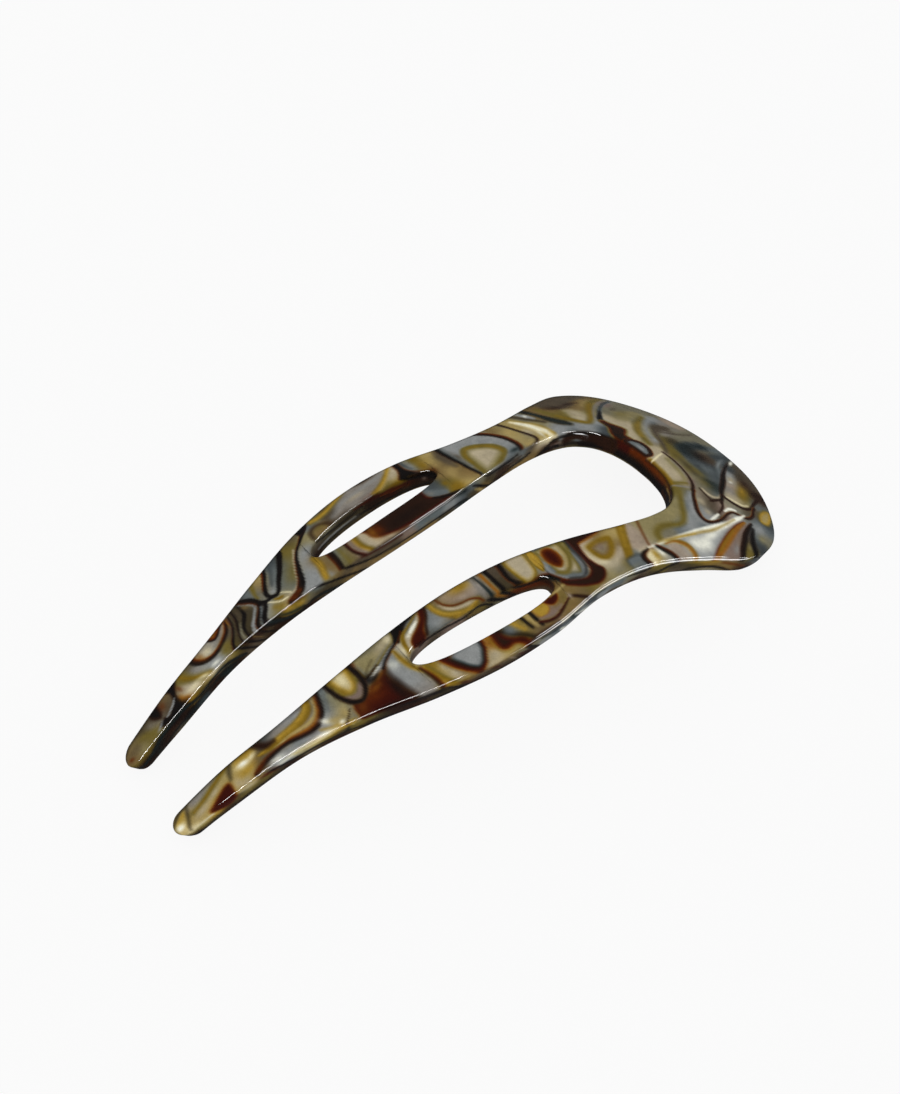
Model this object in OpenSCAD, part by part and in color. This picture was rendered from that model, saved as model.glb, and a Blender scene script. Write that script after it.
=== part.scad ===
// Two-prong hairpin, cut in one piece from a sheet of pressed acetate. Each prong is pierced by
// a long eye-shaped slot. The sheet is bent over an arch, a little tighter at its ends, and
// domed slightly across, and its edges are polished round.
// X runs from the tips to the crown, Y across the prongs and Z up. The pin lies on Z = 0 on its
// two tips and the edge of its crown, with the origin under the middle of its box.

/* [Sheet] */
// Length of the pin along the sheet, from the tips to the edge of the crown
pin_length = 115.5; // [95:0.5:140]
// Width across the crown
crown_width = 47; // [40:0.5:56]
// Thickness of the acetate sheet
sheet_t = 3.3; // [2.6:0.1:4]
// How far the polished edges are rounded over
edge_round = 0.6; // [0.3:0.1:0.7]
// Length of the rounded end of each tip
tip_cap = 2.2; // [2:0.1:4]

/* [Bend] */
// Radius of the arch half way along the pin
mid_bend_r = 114; // [90:1:250]
// Radius of the arch at the tips and at the crown
end_bend_r = 67; // [60:1:250]
// Radius of the bend across the pin, at the tips
tip_dome_r = 165; // [120:5:400]
// Radius of the bend across the pin, at the crown
crown_dome_r = 78; // [70:1:400]

/* [Slots] */
// Distance from the tips to the start of each slot
slot_start = 40; // [37:0.1:42]
// Length of each slot
slot_length = 23.9; // [18:0.1:26]
// Width of each slot at its middle
slot_width = 5; // [3:0.1:5.6]

/* [Hidden] */

// The half pin drawn flat, in mm at the standard size, as sections across it from the tip to
// the middle of the crown. Past the prong the sections fan out round the end of the gap.
// Columns: distance along the middle of the section, then the place of its outer end and of its
// inner end, each along the pin and across it from its centre line.
standard_length = 115.5;
standard_width = 47;
half_sections = [
    // station, outer along, outer across, inner along, inner across
    [0, 0, 8.6, 0, 5.1],
    [5.3, 5.3, 9.4, 5.3, 5.5],
    [10.3, 10.3, 10.3, 10.3, 5.85],
    [20.3, 20.3, 12.1, 20.3, 6.9],
    [30.3, 30.3, 15, 30.3, 7],
    [40.3, 40.3, 18.2, 40.3, 6.65],
    [50.3, 50.3, 20.1, 50.3, 6.5],
    [60.3, 60.3, 20.2, 60.3, 7.2],
    [70.3, 70.3, 18.75, 70.3, 8.9],
    [80.3, 80.3, 19.25, 80.3, 10.75],
    [84.3, 84.3, 20.15, 84.3, 11.15],
    [88.8, 90.05, 21.8, 87.25, 11.15],
    [94.3, 97.75, 23.55, 90.35, 10.63],
    [99.8, 105.82, 21.63, 93.13, 8.88],
    [105.3, 111.45, 15.68, 94.8, 6.13],
    [110.8, 114.9, 8.2, 95.5, 3.03],
    [116.3, 115.65, 0, 95.65, 0]
];
crown_station = 116.3;
next_to_crown = half_sections[len(half_sections) - 2];
// One more row, the mirror image past the middle, so that the crown has no corner there.
sections = concat(half_sections, [[
    2 * crown_station - next_to_crown[0],
    next_to_crown[1], -next_to_crown[2], next_to_crown[3], -next_to_crown[4]
]]);
along_scale = pin_length / standard_length;
across_scale = crown_width / standard_width;

// The middle of a slot, across the pin, at its two ends, and how far it bows outwards between.
slot_start_across = 12.4;
slot_end_across = 14.1;
slot_bow = 0.25;
// Both axes of a slot's outline take this power: 2 would be an ellipse, more is squarer.
slot_power = 2.5;

// Stations: steps round each tip, up to the slot, along it, and from it to the crown.
tip_steps = 6;
prong_steps = 15;
slot_steps = 16;
crown_steps = 22;
round_steps = 2;
spine_step = 1;

// Slope of the curve through a table's rows: that of the parabola through a row and the two
// rows beside it, for one column against the first.
function chord_slope(rows, i, column) =
    (rows[i + 1][column] - rows[i][column]) / (rows[i + 1][0] - rows[i][0]);
function row_slope(rows, i, column) =
    i == 0 ? chord_slope(rows, 0, column) :
    i == len(rows) - 1 ? chord_slope(rows, i - 1, column) :
    let (before = rows[i][0] - rows[i - 1][0])
    let (after = rows[i + 1][0] - rows[i][0])
    (chord_slope(rows, i - 1, column) * after + chord_slope(rows, i, column) * before)
        / (before + after);
function row_before(rows, at, i = 0) =
    i < len(rows) - 2 && at > rows[i + 1][0] ? row_before(rows, at, i + 1) : i;
// The cubic between two rows that has those slopes at its ends.
function smooth(rows, at, column) =
    let (i = row_before(rows, at))
    let (gap = rows[i + 1][0] - rows[i][0])
    let (u = (at - rows[i][0]) / gap)
    rows[i][column] * (1 + 2 * u) * (1 - u) ^ 2
        + rows[i + 1][column] * u ^ 2 * (3 - 2 * u)
        + gap * row_slope(rows, i, column) * u * (1 - u) ^ 2
        - gap * row_slope(rows, i + 1, column) * u ^ 2 * (1 - u);

// End of a section on the flat sheet: side 1 is its outer end and -1 its inner end. Near the tip
// the section narrows as an ellipse does.
function tip_factor(station) = station < tip_cap ? sqrt(1 - (1 - station / tip_cap) ^ 2) : 1;
function section_end(station, side) =
    let (outer = [smooth(sections, station, 1), smooth(sections, station, 2)])
    let (inner = [smooth(sections, station, 3), smooth(sections, station, 4)])
    let (end = (outer + inner) / 2 + side * tip_factor(station) * (outer - inner) / 2)
    [end[0] * along_scale, end[1] * across_scale];

// Stations from the tip to the middle of the crown. They crowd together round the tip and at
// the ends of the slot, where the outline turns fastest.
slot_middle = (slot_start + slot_length / 2) / along_scale;
slot_reach = slot_length / 2 / along_scale;
half_stations = concat(
    [for (i = [0 : tip_steps]) tip_cap * (1 - cos(90 * i / tip_steps))],
    [for (i = [1 : prong_steps - 1])
        tip_cap + (slot_middle - slot_reach - tip_cap) * i / prong_steps],
    [for (i = [0 : slot_steps]) slot_middle + slot_reach * slot_place(180 - 180 * i / slot_steps)],
    [for (i = [1 : crown_steps])
        slot_middle + slot_reach + (crown_station - slot_middle - slot_reach) * i / crown_steps]
);
apex = len(half_stations) - 1;
slot_first = tip_steps + prong_steps;
slot_last = slot_first + slot_steps;

// The outline of a slot: the superellipse's place along and its half width at an angle round it.
function slot_place(angle) = sign(cos(angle)) * abs(cos(angle)) ^ (2 / slot_power);
function slot_half(angle) = slot_width / 2 * abs(sin(angle)) ^ (2 / slot_power);
// A point on a slot's edge on the flat sheet. Side is -1 on the near prong and 1 on the far one,
// edge is 1 for the slot's outer edge and -1 for its inner edge.
function slot_point(i, side, edge) =
    let (angle = 180 - 180 * (i - slot_first) / slot_steps)
    let (place = slot_place(angle))
    let (middle = (slot_start_across + slot_end_across) / 2
        + place * (slot_end_across - slot_start_across) / 2
        + slot_bow * (1 - place ^ 2))
    let (across = middle * across_scale + edge * slot_half(angle))
    [slot_start + slot_length / 2 * (1 + place), side * across];

// The whole pin is a ladder of sections from the near tip round the crown to the far tip.
function half_index(i) = i <= apex ? i : 2 * apex - i;
function prong_side(i) = i <= apex ? -1 : 1;
function flat_end(i, side) =
    let (end = section_end(half_stations[half_index(i)], side))
    [end[0], prong_side(i) * end[1]];
function has_slot(i) = half_index(i) >= slot_first && half_index(i) <= slot_last;

// The outline runs anticlockwise, up the outer ends of the sections and back down the inner
// ends. The slots' outlines run clockwise, so the acetate is always on the left.
outline_size = 4 * apex;
outline = [for (k = [0 : outline_size - 1])
    k <= 2 * apex ? flat_end(k, 1) : flat_end(outline_size - k, -1)];
slot_size = 2 * slot_steps;
function slot_loop(side) = [for (k = [0 : slot_size - 1])
    k <= slot_steps ? slot_point(slot_first + k, side, side)
        : slot_point(slot_last - (k - slot_steps), side, -side)];
slot_loops = [slot_loop(-1), slot_loop(1)];

// A loop moved into the acetate by a distance, along the normal at each of its points.
function inset_loop(loop, distance) = [for (k = [0 : len(loop) - 1])
    let (run = loop[(k + 1) % len(loop)] - loop[(k + len(loop) - 1) % len(loop)])
    loop[k] - distance * [run[1], -run[0]] / norm(run)];

// The polished edge as steps of inset and depth: a quarter round, the wall, a quarter round.
quarter = [for (i = [0 : round_steps])
    let (angle = 90 * i / round_steps)
    [edge_round * (1 - sin(angle)), edge_round * (1 - cos(angle))]];
lower_quarter = [for (i = [round_steps : -1 : 0]) [quarter[i][0], sheet_t - quarter[i][1]]];
edge_profile = concat(quarter, lower_quarter);

// Slope of the bent sheet in degrees at a distance along it, before the pin is laid down.
half_length = pin_length / 2;
function sheet_slope(along) =
    let (past = along - half_length)
    let (tighter = (1 / end_bend_r - 1 / mid_bend_r) * past ^ 3 / (3 * half_length ^ 2))
    -(past / mid_bend_r + tighter) * 180 / PI;
function spine_rows(along, x, z) =
    along > pin_length + spine_step ? [] :
    let (slope = sheet_slope(along + spine_step / 2))
    concat([[along, x, z]],
        spine_rows(along + spine_step, x + spine_step * cos(slope), z + spine_step * sin(slope)));
spine = spine_rows(0, 0, 0);
spine_x = [for (row = spine) [row[0], row[1]]];
spine_z = [for (row = spine) [row[0], row[2]]];

// Where a point of the flat sheet goes when it is bent, at a depth below the upper face.
function bent(point, depth) =
    let (slope = sheet_slope(point[0]))
    let (dome = 1 / tip_dome_r + (1 / crown_dome_r - 1 / tip_dome_r) * point[0] / pin_length)
    let (up = [-sin(slope), 0, cos(slope)])
    let (normal = up + [0, dome * point[1], 0])
    [lookup(point[0], spine_x), point[1], lookup(point[0], spine_z)]
        - dome * point[1] ^ 2 / 2 * up - depth * normal / norm(normal);

// The pin is turned about Y until the lower edges of its tips and of its crown are level.
tip_foot = bent(outline[0], sheet_t);
crown_foot = bent(outline[apex], sheet_t);
rest_turn = atan2(crown_foot[2] - tip_foot[2], crown_foot[0] - tip_foot[0]);
function laid(point) = [
    point[0] * cos(rest_turn) + point[2] * sin(rest_turn),
    point[1],
    point[2] * cos(rest_turn) - point[0] * sin(rest_turn)
];

// Every point of the surface: the rings round the outline, those round both slots, and three
// columns of points inside each section, on the upper face and on the lower one.
function rings(loop) = [for (step = edge_profile)
    let (inset = inset_loop(loop, step[0]))
    for (point = inset) laid(bent(point, step[1]))];
face_outline = inset_loop(outline, edge_round);
face_slots = [inset_loop(slot_loops[0], edge_round), inset_loop(slot_loops[1], edge_round)];
function slot_position(i, edge) =
    let (k = half_index(i) - slot_first)
    edge == prong_side(i) ? k : (slot_size - k) % slot_size;
function face_slot_point(i, edge) = face_slots[prong_side(i) < 0 ? 0 : 1][slot_position(i, edge)];
function face_columns(depth) = [for (i = [1 : 2 * apex - 1])
    let (outer = face_outline[i])
    let (inner = face_outline[outline_size - i])
    let (middle = (outer + inner) / 2)
    let (columns = [
        (outer + (has_slot(i) ? face_slot_point(i, 1) : middle)) / 2,
        middle,
        (inner + (has_slot(i) ? face_slot_point(i, -1) : middle)) / 2
    ])
    for (point = columns) laid(bent(point, depth))];
unplaced = concat(
    rings(outline),
    rings(slot_loops[0]),
    rings(slot_loops[1]),
    face_columns(0),
    face_columns(sheet_t)
);
low_x = min([for (point = unplaced) point[0]]);
high_x = max([for (point = unplaced) point[0]]);
low_z = min([for (point = unplaced) point[2]]);
pin_points = [for (point = unplaced) point - [(low_x + high_x) / 2, 0, low_z]];

// Where each group of points starts in the list.
ring_count = len(edge_profile);
slot_base = [ring_count * outline_size, ring_count * (outline_size + slot_size)];
upper_base = ring_count * (outline_size + 2 * slot_size);
lower_base = upper_base + 3 * (2 * apex - 1);

// The number of a face's point: section i, column 0 at the outer edge to 4 at the inner edge,
// half 1 for the columns outside a slot and -1 for those inside it.
function face_point(i, column, half, ring, base) =
    column == 0 || i == 0 || i == 2 * apex ? ring * outline_size + i :
    column == 4 ? ring * outline_size + outline_size - i :
    column == 2 && has_slot(i)
        ? slot_base[prong_side(i) < 0 ? 0 : 1] + ring * slot_size + slot_position(i, half) :
    base + 3 * (i - 1) + column - 1;
function face_triangles(ring, base, up) = [for (i = [0 : 2 * apex - 1])
    for (column = [0 : 3])
    let (half = column < 2 ? 1 : -1)
    let (a = face_point(i, column, half, ring, base))
    let (b = face_point(i + 1, column, half, ring, base))
    let (c = face_point(i + 1, column + 1, half, ring, base))
    let (d = face_point(i, column + 1, half, ring, base))
    for (triangle = up ? [[a, d, c], [a, c, b]] : [[a, c, d], [a, b, c]])
    let (a = triangle[0], b = triangle[1], c = triangle[2])
    if (a != b && b != c && c != a) triangle];
function edge_triangles(base, size) = [for (ring = [0 : ring_count - 2])
    for (k = [0 : size - 1])
    let (a = base + ring * size + k)
    let (b = base + ring * size + (k + 1) % size)
    let (c = b + size)
    let (d = a + size)
    for (triangle = [[a, b, c], [a, c, d]]) triangle];
pin_faces = concat(
    face_triangles(0, upper_base, true),
    face_triangles(ring_count - 1, lower_base, false),
    edge_triangles(0, outline_size),
    edge_triangles(slot_base[0], slot_size),
    edge_triangles(slot_base[1], slot_size)
);

// The whole pin: one bent and polished piece of acetate.
module pin_body() {
    color([0.5, 0.42, 0.26])
        polyhedron(points = pin_points, faces = pin_faces);
}

pin_body();
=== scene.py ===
"""Two-prong hairpin of pressed marbled acetate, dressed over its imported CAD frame.

Lengths in the chart are millimetres on the flat sheet: along it from the tips, and across it from
the middle line, positive towards the far prong. Everything put into Blender is in metres.
"""
import math

import bpy
import numpy as np
from bpy.props import FloatProperty, FloatVectorProperty, PointerProperty
from bpy.types import Operator, Panel, PropertyGroup
from mathutils import Matrix, Vector


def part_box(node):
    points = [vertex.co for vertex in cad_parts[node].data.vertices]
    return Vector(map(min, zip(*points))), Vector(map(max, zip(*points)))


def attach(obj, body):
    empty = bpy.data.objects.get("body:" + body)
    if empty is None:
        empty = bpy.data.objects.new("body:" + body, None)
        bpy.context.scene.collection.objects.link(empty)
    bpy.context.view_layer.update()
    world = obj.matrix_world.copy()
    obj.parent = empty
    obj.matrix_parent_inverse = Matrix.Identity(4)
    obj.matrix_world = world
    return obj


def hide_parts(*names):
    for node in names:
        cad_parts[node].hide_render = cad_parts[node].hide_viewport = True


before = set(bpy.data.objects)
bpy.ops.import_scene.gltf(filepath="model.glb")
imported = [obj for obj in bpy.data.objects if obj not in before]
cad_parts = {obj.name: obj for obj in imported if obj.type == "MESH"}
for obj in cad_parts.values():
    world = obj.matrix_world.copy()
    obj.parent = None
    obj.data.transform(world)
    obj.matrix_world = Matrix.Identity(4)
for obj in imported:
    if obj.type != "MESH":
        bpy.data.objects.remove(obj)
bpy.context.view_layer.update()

bl_info = {
    "name": "Marbled acetate hairpin",
    "version": (1, 0, 0),
    "blender": (4, 5, 0),
    "location": "View3D > Sidebar > Hairpin",
    "description": "Builds a marbled two-prong hairpin and its studio",
    "category": "Mesh",
}

MM = 0.001
TINY = 1e-9

# The half pin drawn flat: distance along the middle of a section, then the place of its outer end
# and of its inner end, each along the pin and across it. Past the prong the sections fan out.
HALF_SECTIONS = [
    (0, 0, 8.6, 0, 5.1), (5.3, 5.3, 9.4, 5.3, 5.5), (10.3, 10.3, 10.3, 10.3, 5.85),
    (20.3, 20.3, 12.1, 20.3, 6.9), (30.3, 30.3, 15, 30.3, 7), (40.3, 40.3, 18.2, 40.3, 6.65),
    (50.3, 50.3, 20.1, 50.3, 6.5), (60.3, 60.3, 20.2, 60.3, 7.2), (70.3, 70.3, 18.75, 70.3, 8.9),
    (80.3, 80.3, 19.25, 80.3, 10.75), (84.3, 84.3, 20.15, 84.3, 11.15),
    (88.8, 90.05, 21.8, 87.25, 11.15), (94.3, 97.75, 23.55, 90.35, 10.63),
    (99.8, 105.82, 21.63, 93.13, 8.88), (105.3, 111.45, 15.68, 94.8, 6.13),
    (110.8, 114.9, 8.2, 95.5, 3.03), (116.3, 115.65, 0, 95.65, 0),
]
PIN_LENGTH = 115.5
CROWN_STATION = 116.3
PRONG_END = 88
TIP_ACROSS = 6.85
TIP_CAP = 2.2

# How the sheet bends over the pin's arch and domes across it.
MID_BEND_R = 114
END_BEND_R = 67
TIP_DOME_R = 165
CROWN_DOME_R = 78

# The far slot's outline round a middle line that bows outwards.
SLOT_START = 40
SLOT_LENGTH = 23.9
SLOT_WIDTH = 5
SLOT_ENDS_ACROSS = (12.4, 14.1)
SLOT_BOW = 0.25
SLOT_POWER = 2.5

# The polished edges. Towards a tip the lower one grows rounder.
UPPER_ROUND_STEPS = 4
LOWER_ROUND_STEPS = 4
WALL_STEPS = 7
TIP_ROUND = 1.35
TIP_ROUND_REACH = 9
TIP_ROUND_FADE = 1.5

# How closely sections and cells stand. The underside lies hidden, so its cells are wider.
TIP_STEPS = 14
SLOT_EASE = 1.8
SLOT_STEP_SHARE = 1.25
CROWN_STEP_SHARE = .8
MIDDLE_ROW_END = 92
UNDER_CELLS = 3.6

# What a vertex lies on: one of the four walls of the outline, a slot's wall, or a face.
NEAR_OUTER, FAR_OUTER, FAR_INNER, NEAR_INNER, NEAR_SLOT, FAR_SLOT, FACE = range(7)

# How a face is painted. A wash fades like a bell over its reach and keeps a faint tail round its core.
WASH_REACH = 1.5
WASH_TAIL = 1e-3
WASH_CORE = .3
POINTS_AT_ONCE = 4000
PATH_LEGS = 8
MARK_MARGIN = 1
THINNEST_VEIN = .02
FAINTEST_GLOW = .01

# Where the chart starts, how deep the upper face's colours and the walls' colours are looked up, and
# how much closer the washes of a wall stand down it than along it.
CHART_START = .3
FACE_DEPTH = 2.1
WALL_DEPTH = .05
WALL_TALL = 1.7

# The underside: how far above it its colours start, where they come in and over what width. They are
# the mean of a few places across, each moved by waves given as height, length along and length across.
UNDER_START = .6
UNDER_BLEND_START = .5
UNDER_BLEND = .4
UNDER_BLUR = (-.45, -.22, 0, .22, .45)
UNDER_ALONG_WAVES = ((2.2, math.inf, 4.1), (1.4, 7.3, 9))
UNDER_ACROSS_WAVES = ((1.1, 6.1, math.inf), (.6, 2.7, 5))

# The dark line under the edges that turn away from the light.
EDGE_SHADE = .6
EDGE_SHADE_DEPTH = .22
EDGE_SHADE_REACH = .16
FAR_SHADE_END = 108
NEAR_SHADE_END = 80

# What the clear skin does to the chart: the tones it turns into others, and how much fuller hues get.
GREY_SHARES = (.3, .6, .1)
CHART_TONES = (0, .1, .2, .3, .4, .48, .56, .65, .9)
SKIN_TONES = (0, .07, .15, .24, .345, .45, .56, .68, .95)
SKIN_HUE = 1.12

# The acetate's silvery grain, its clouds, and the slight waves of its buffed skin.
GRAIN = {"Scale": 1 / (.2 * MM), "Detail": 3., "Roughness": .6}
CLOUDS = {"Scale": 1 / (1.6 * MM), "Detail": 4., "Roughness": .55, "Distortion": .6}
GRAIN_LEVELS = {"From Min": .6, "From Max": 1.4, "To Min": .76, "To Max": 1.24}
SKIN_WAVES = {"Scale": 1 / (2.2 * MM), "Detail": 2.}
SKIN_BUMP = {"Strength": .01, "Distance": .02 * MM}
SHEET = {"Roughness": .34, "IOR": 1.48, "Specular IOR Level": 0}
SKIN = {"Coat Weight": 1, "Coat Roughness": .055, "Coat IOR": 1.48}

# The studio: a sweep of white paper that glows, a white world with a dark room in its reflections, and a
# glowing white card, seen only in reflections, that fades out to its left.
FLOOR_REACH = 1.5
PAPER = "#F9F9F9"
PAPER_GLOW = .955
PAPER_SHADOW = "#454545"
ROOM = "#F3F9FF"
ROOM_LIGHT = .05
CARD = "#FBFDFF"
CARD_LIGHT = 16
CARD_FADE = 8 * MM
CARD_HEIGHT = .1 * MM
CARD_LEFT = 11 * MM
CARD_RIGHT = 60 * MM
CARD_FRONT = -130 * MM
CARD_BACK = -37 * MM

# Each lamp's name, the way to it, the way its long side runs, its distance, its sides and its power.
LAMPS = [
    ("front_strip", (-.42, -.73, .54), (-.895, .27, -.355), 3, (2.5, .2), 120),
    ("side_strip", (.56, -.66, .5), (.83, .34, -.43), 3, (1.1, .3), 50),
    ("low_strip", (.75, -.65, .13), (.12, 0, -1), 3, (.7, .1), 12),
]

# The photograph's camera: its place in millimetres, its turns in degrees, and its lens.
CAMERA_PLACE = (-78.201, -111.173, 167.767)
CAMERA_AZIMUTH = -34.56
CAMERA_ELEVATION = 48.06
CAMERA_ROLL = 3.18
CAMERA_LENS = 45.81
CAMERA_SENSOR = 36
CAMERA_CLIP = .01

# The colours of the sheet's chips and veins. The first is no colour of the sheet: it is the near-white of
# painted highlights, glints and reflections.
COLOURS = {
    "gleam": "#E4E4D6", "ivory": "#D6CCA8", "cream": "#A79C84", "blush": "#9C8E7E", "pearl": "#86817A",
    "silver": "#8B8D8C", "slate": "#6C7273", "steel": "#4B5052", "navy": "#262E2E", "lilac": "#83736A",
    "stone": "#7C7866", "taupe": "#5C5347", "khaki": "#8C8360", "olive": "#766A3B", "moss": "#4A4334",
    "ochre": "#846C2B", "gold": "#A3863B", "straw": "#A2905F", "tan": "#7F6C49", "orange": "#92662F",
    "rust": "#623319", "maroon": "#3F1B15", "umber": "#30211A", "ink": "#1B1817",
}


def outline_rows():
    """The half sections with one more row, mirrored past the crown, so that it has no corner."""
    rows = np.array(HALF_SECTIONS, float)
    last = rows[-2] * (1, 1, -1, 1, -1)
    last[0] = 2 * CROWN_STATION - last[0]
    return np.vstack([rows, last])


def smooth_column(at, column):
    """Cubic between two rows of the table whose slope at each row is its parabola's slope there."""
    rows = outline_rows()
    x, y = rows[:, 0], rows[:, column]
    gap = np.diff(x)
    chord = np.diff(y) / gap
    inner = (chord[:-1] * gap[1:] + chord[1:] * gap[:-1]) / (gap[1:] + gap[:-1])
    slope = np.concatenate([chord[:1], inner, chord[-1:]])
    i = np.clip(np.searchsorted(x, at, side="left") - 1, 0, len(x) - 2)
    u = (at - x[i]) / gap[i]
    ends = y[i] * (1 + 2 * u) * (1 - u) ** 2 + y[i + 1] * u ** 2 * (3 - 2 * u)
    return ends + gap[i] * (slope[i] * u * (1 - u) ** 2 - slope[i + 1] * u ** 2 * (1 - u))


def section_end(station, side):
    """Flat place of a section's end: side 1 outer, -1 inner. The tip narrows as an ellipse does."""
    outer = np.stack([smooth_column(station, 1), smooth_column(station, 2)], -1)
    inner = np.stack([smooth_column(station, 3), smooth_column(station, 4)], -1)
    near_tip = np.clip(1 - station / TIP_CAP, 0, 1)
    narrow = np.sqrt(1 - near_tip ** 2)[:, None]
    return (outer + inner) / 2 + side * narrow * (outer - inner) / 2


def slot_edge(place, edge):
    """Flat place on the far slot's edge: a superellipse round a middle line that bows outwards."""
    middle = (SLOT_ENDS_ACROSS[0] + SLOT_ENDS_ACROSS[1]) / 2
    middle = middle + place * (SLOT_ENDS_ACROSS[1] - SLOT_ENDS_ACROSS[0]) / 2 + SLOT_BOW * (1 - place ** 2)
    half = SLOT_WIDTH / 2 * np.maximum(1 - np.abs(place) ** SLOT_POWER, 0) ** (1 / SLOT_POWER)
    return np.stack([SLOT_START + SLOT_LENGTH / 2 * (1 + place), middle + edge * half], -1)


def sheet_slope(along):
    """Slope of the sheet along the pin, from 0 at its middle: it bends more and more towards the ends."""
    past = along - PIN_LENGTH / 2
    half = PIN_LENGTH / 2
    return -(past / MID_BEND_R + (1 / END_BEND_R - 1 / MID_BEND_R) * past ** 3 / (3 * half ** 2))


def spine():
    """Running sums of the cosine and the sine of the sheet's slope, over 1 mm steps to past its end."""
    slope = sheet_slope(np.arange(int(PIN_LENGTH) + 3) + 0.5)
    start = np.zeros(1)
    return (np.concatenate([start, np.cumsum(np.cos(slope))]),
            np.concatenate([start, np.cumsum(np.sin(slope))]))


def bent(flat, depth):
    """Where points of the flat sheet go when it is bent over its arch and domed across, at a depth."""
    along, across = flat[:, 0], flat[:, 1]
    slope = sheet_slope(along)
    dome = 1 / TIP_DOME_R + (1 / CROWN_DOME_R - 1 / TIP_DOME_R) * along / PIN_LENGTH
    up = np.stack([-np.sin(slope), np.zeros_like(slope), np.cos(slope)], -1)
    normal = up.copy()
    normal[:, 1] = dome * across
    normal /= np.linalg.norm(normal, axis=1)[:, None]
    x, z = spine()
    steps = np.arange(len(x))
    middle = np.stack([np.interp(along, steps, x), across, np.interp(along, steps, z)], -1)
    return middle - (dome * across ** 2 / 2)[:, None] * up - np.reshape(depth, (-1, 1)) * normal


def laid_down(place, thickness):
    """The bent pin in metres: turned to rest on its tips and crown, and moved to its CAD solid's box."""
    tip = bent(np.array([[0, -TIP_ACROSS]]), np.array([thickness]))[0]
    crown = bent(np.array([[PIN_LENGTH, 0]]), np.array([thickness]))[0]
    turn = math.atan2(crown[2] - tip[2], crown[0] - tip[0])
    x, y, z = place.T
    place = np.stack([x * math.cos(turn) + z * math.sin(turn), y,
                      z * math.cos(turn) - x * math.sin(turn)], -1)
    middle = (place.max(0) + place.min(0)) / 2
    low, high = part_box("pin_body")
    shift = np.array([(low[0] + high[0]) / 2 / MM - middle[0], 0, low[2] / MM - place[:, 2].min()])
    return (place + shift) * MM


def even_steps(start, end, step):
    """Evenly spaced stations from start to end, no further apart than a step."""
    return np.linspace(start, end, int(math.ceil((end - start) / step)) + 1)


def half_stations(step):
    """Stations of half the ladder of sections, close together at the tip and at the slot's ends.

    Also the slot's places from -1 to 1 at its own stations, and the number of its first station.
    """
    tip = TIP_CAP * (1 - np.cos(np.linspace(0, math.pi / 2, TIP_STEPS + 1)))
    count = int(round(SLOT_LENGTH / 2 * SLOT_EASE / step / SLOT_STEP_SHARE))
    far_half = 1 - (1 - np.arange(count + 1) / count) ** SLOT_EASE
    place = np.concatenate([-far_half[:0:-1], far_half])
    slot = SLOT_START + SLOT_LENGTH / 2 * (1 + place)
    prong = even_steps(tip[-1], slot[0], step)
    neck = even_steps(slot[-1], PRONG_END, step)
    crown = even_steps(neck[-1], CROWN_STATION, step * CROWN_STEP_SHARE)
    stations = np.concatenate([tip, prong[1:-1], slot, neck[1:], crown[1:]])
    return stations, place, len(tip) + len(prong) - 2


def inset(loop, distance):
    """A closed loop moved to its left by a distance, one for all or one for each of its points."""
    run = np.roll(loop, -1, 0) - np.roll(loop, 1, 0)
    left = np.stack([-run[:, 1], run[:, 0]], -1)
    return loop + left * (distance / np.linalg.norm(run, axis=1))[:, None]


def edge_steps(thickness, upper, lower):
    """The polished edge as steps of inset and depth: a quarter round, the wall, a quarter round."""
    a = np.linspace(0, math.pi / 2, UPPER_ROUND_STEPS + 1)[:, None]
    b = np.linspace(math.pi / 2, 0, LOWER_ROUND_STEPS + 1)[:, None]
    share = np.linspace(0, 1, WALL_STEPS + 1)[1:-1, None]
    wall = upper + (thickness - lower - upper) * share
    same = np.ones(len(lower))
    ins = np.concatenate([upper * (1 - np.sin(a)) * same, 0 * wall, lower * (1 - np.sin(b))])
    depth = np.concatenate([upper * (1 - np.cos(a)) * same, wall, thickness - lower * (1 - np.cos(b))])
    return ins, depth


def strip(a, b, up):
    """Triangles between two rows of points of any counts, always stepping on along the nearer row."""
    ends_a = np.arange(1, len(a)) / (len(a) - 1)
    ends_b = np.arange(1, len(b)) / (len(b) - 1)
    j = np.searchsorted(ends_b, ends_a - TINY, side="left")
    i = np.searchsorted(ends_a, ends_b + TINY, side="right")
    faces = np.concatenate([np.stack([a[:-1], b[j], a[1:]], -1), np.stack([a[i], b[:-1], b[1:]], -1)])
    return faces if up else faces[:, ::-1]


def band(base, size, rings):
    """Triangles joining each ring of a closed loop to the next one down."""
    k = np.arange(size)
    ring = base + size * np.arange(rings - 1)[:, None]
    a = (ring + k).ravel()
    b = (ring + (k + 1) % size).ravel()
    return np.concatenate([np.stack([a, a + size, b + size], -1), np.stack([a, b + size, b], -1)])


def edge_loops(stations, place):
    """Closed loops of the outline and of both slots: flat places, places along the wall, and kinds."""
    near = np.array((1, -1))
    outer = section_end(stations, 1)
    inner = section_end(stations, -1)
    n = len(stations)
    outline = np.concatenate([outer * near, outer[-2::-1], inner[1:], (inner * near)[-2:0:-1]])
    wall = np.concatenate([stations, stations[-2::-1], stations[1:], stations[-2:0:-1]])
    kind = np.repeat([NEAR_OUTER, FAR_OUTER, FAR_INNER, NEAR_INNER], [n, n - 1, n - 1, n - 2])
    above, below = slot_edge(place, 1), slot_edge(place, -1)
    near_slot = np.concatenate([(above * near)[::-1], (below * near)[1:-1]])
    far_slot = np.concatenate([above, below[-2:0:-1]])
    return [(outline, wall, kind), (near_slot, near_slot[:, 0], np.full(len(near_slot), NEAR_SLOT)),
            (far_slot, far_slot[:, 0], np.full(len(far_slot), FAR_SLOT))]


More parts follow.
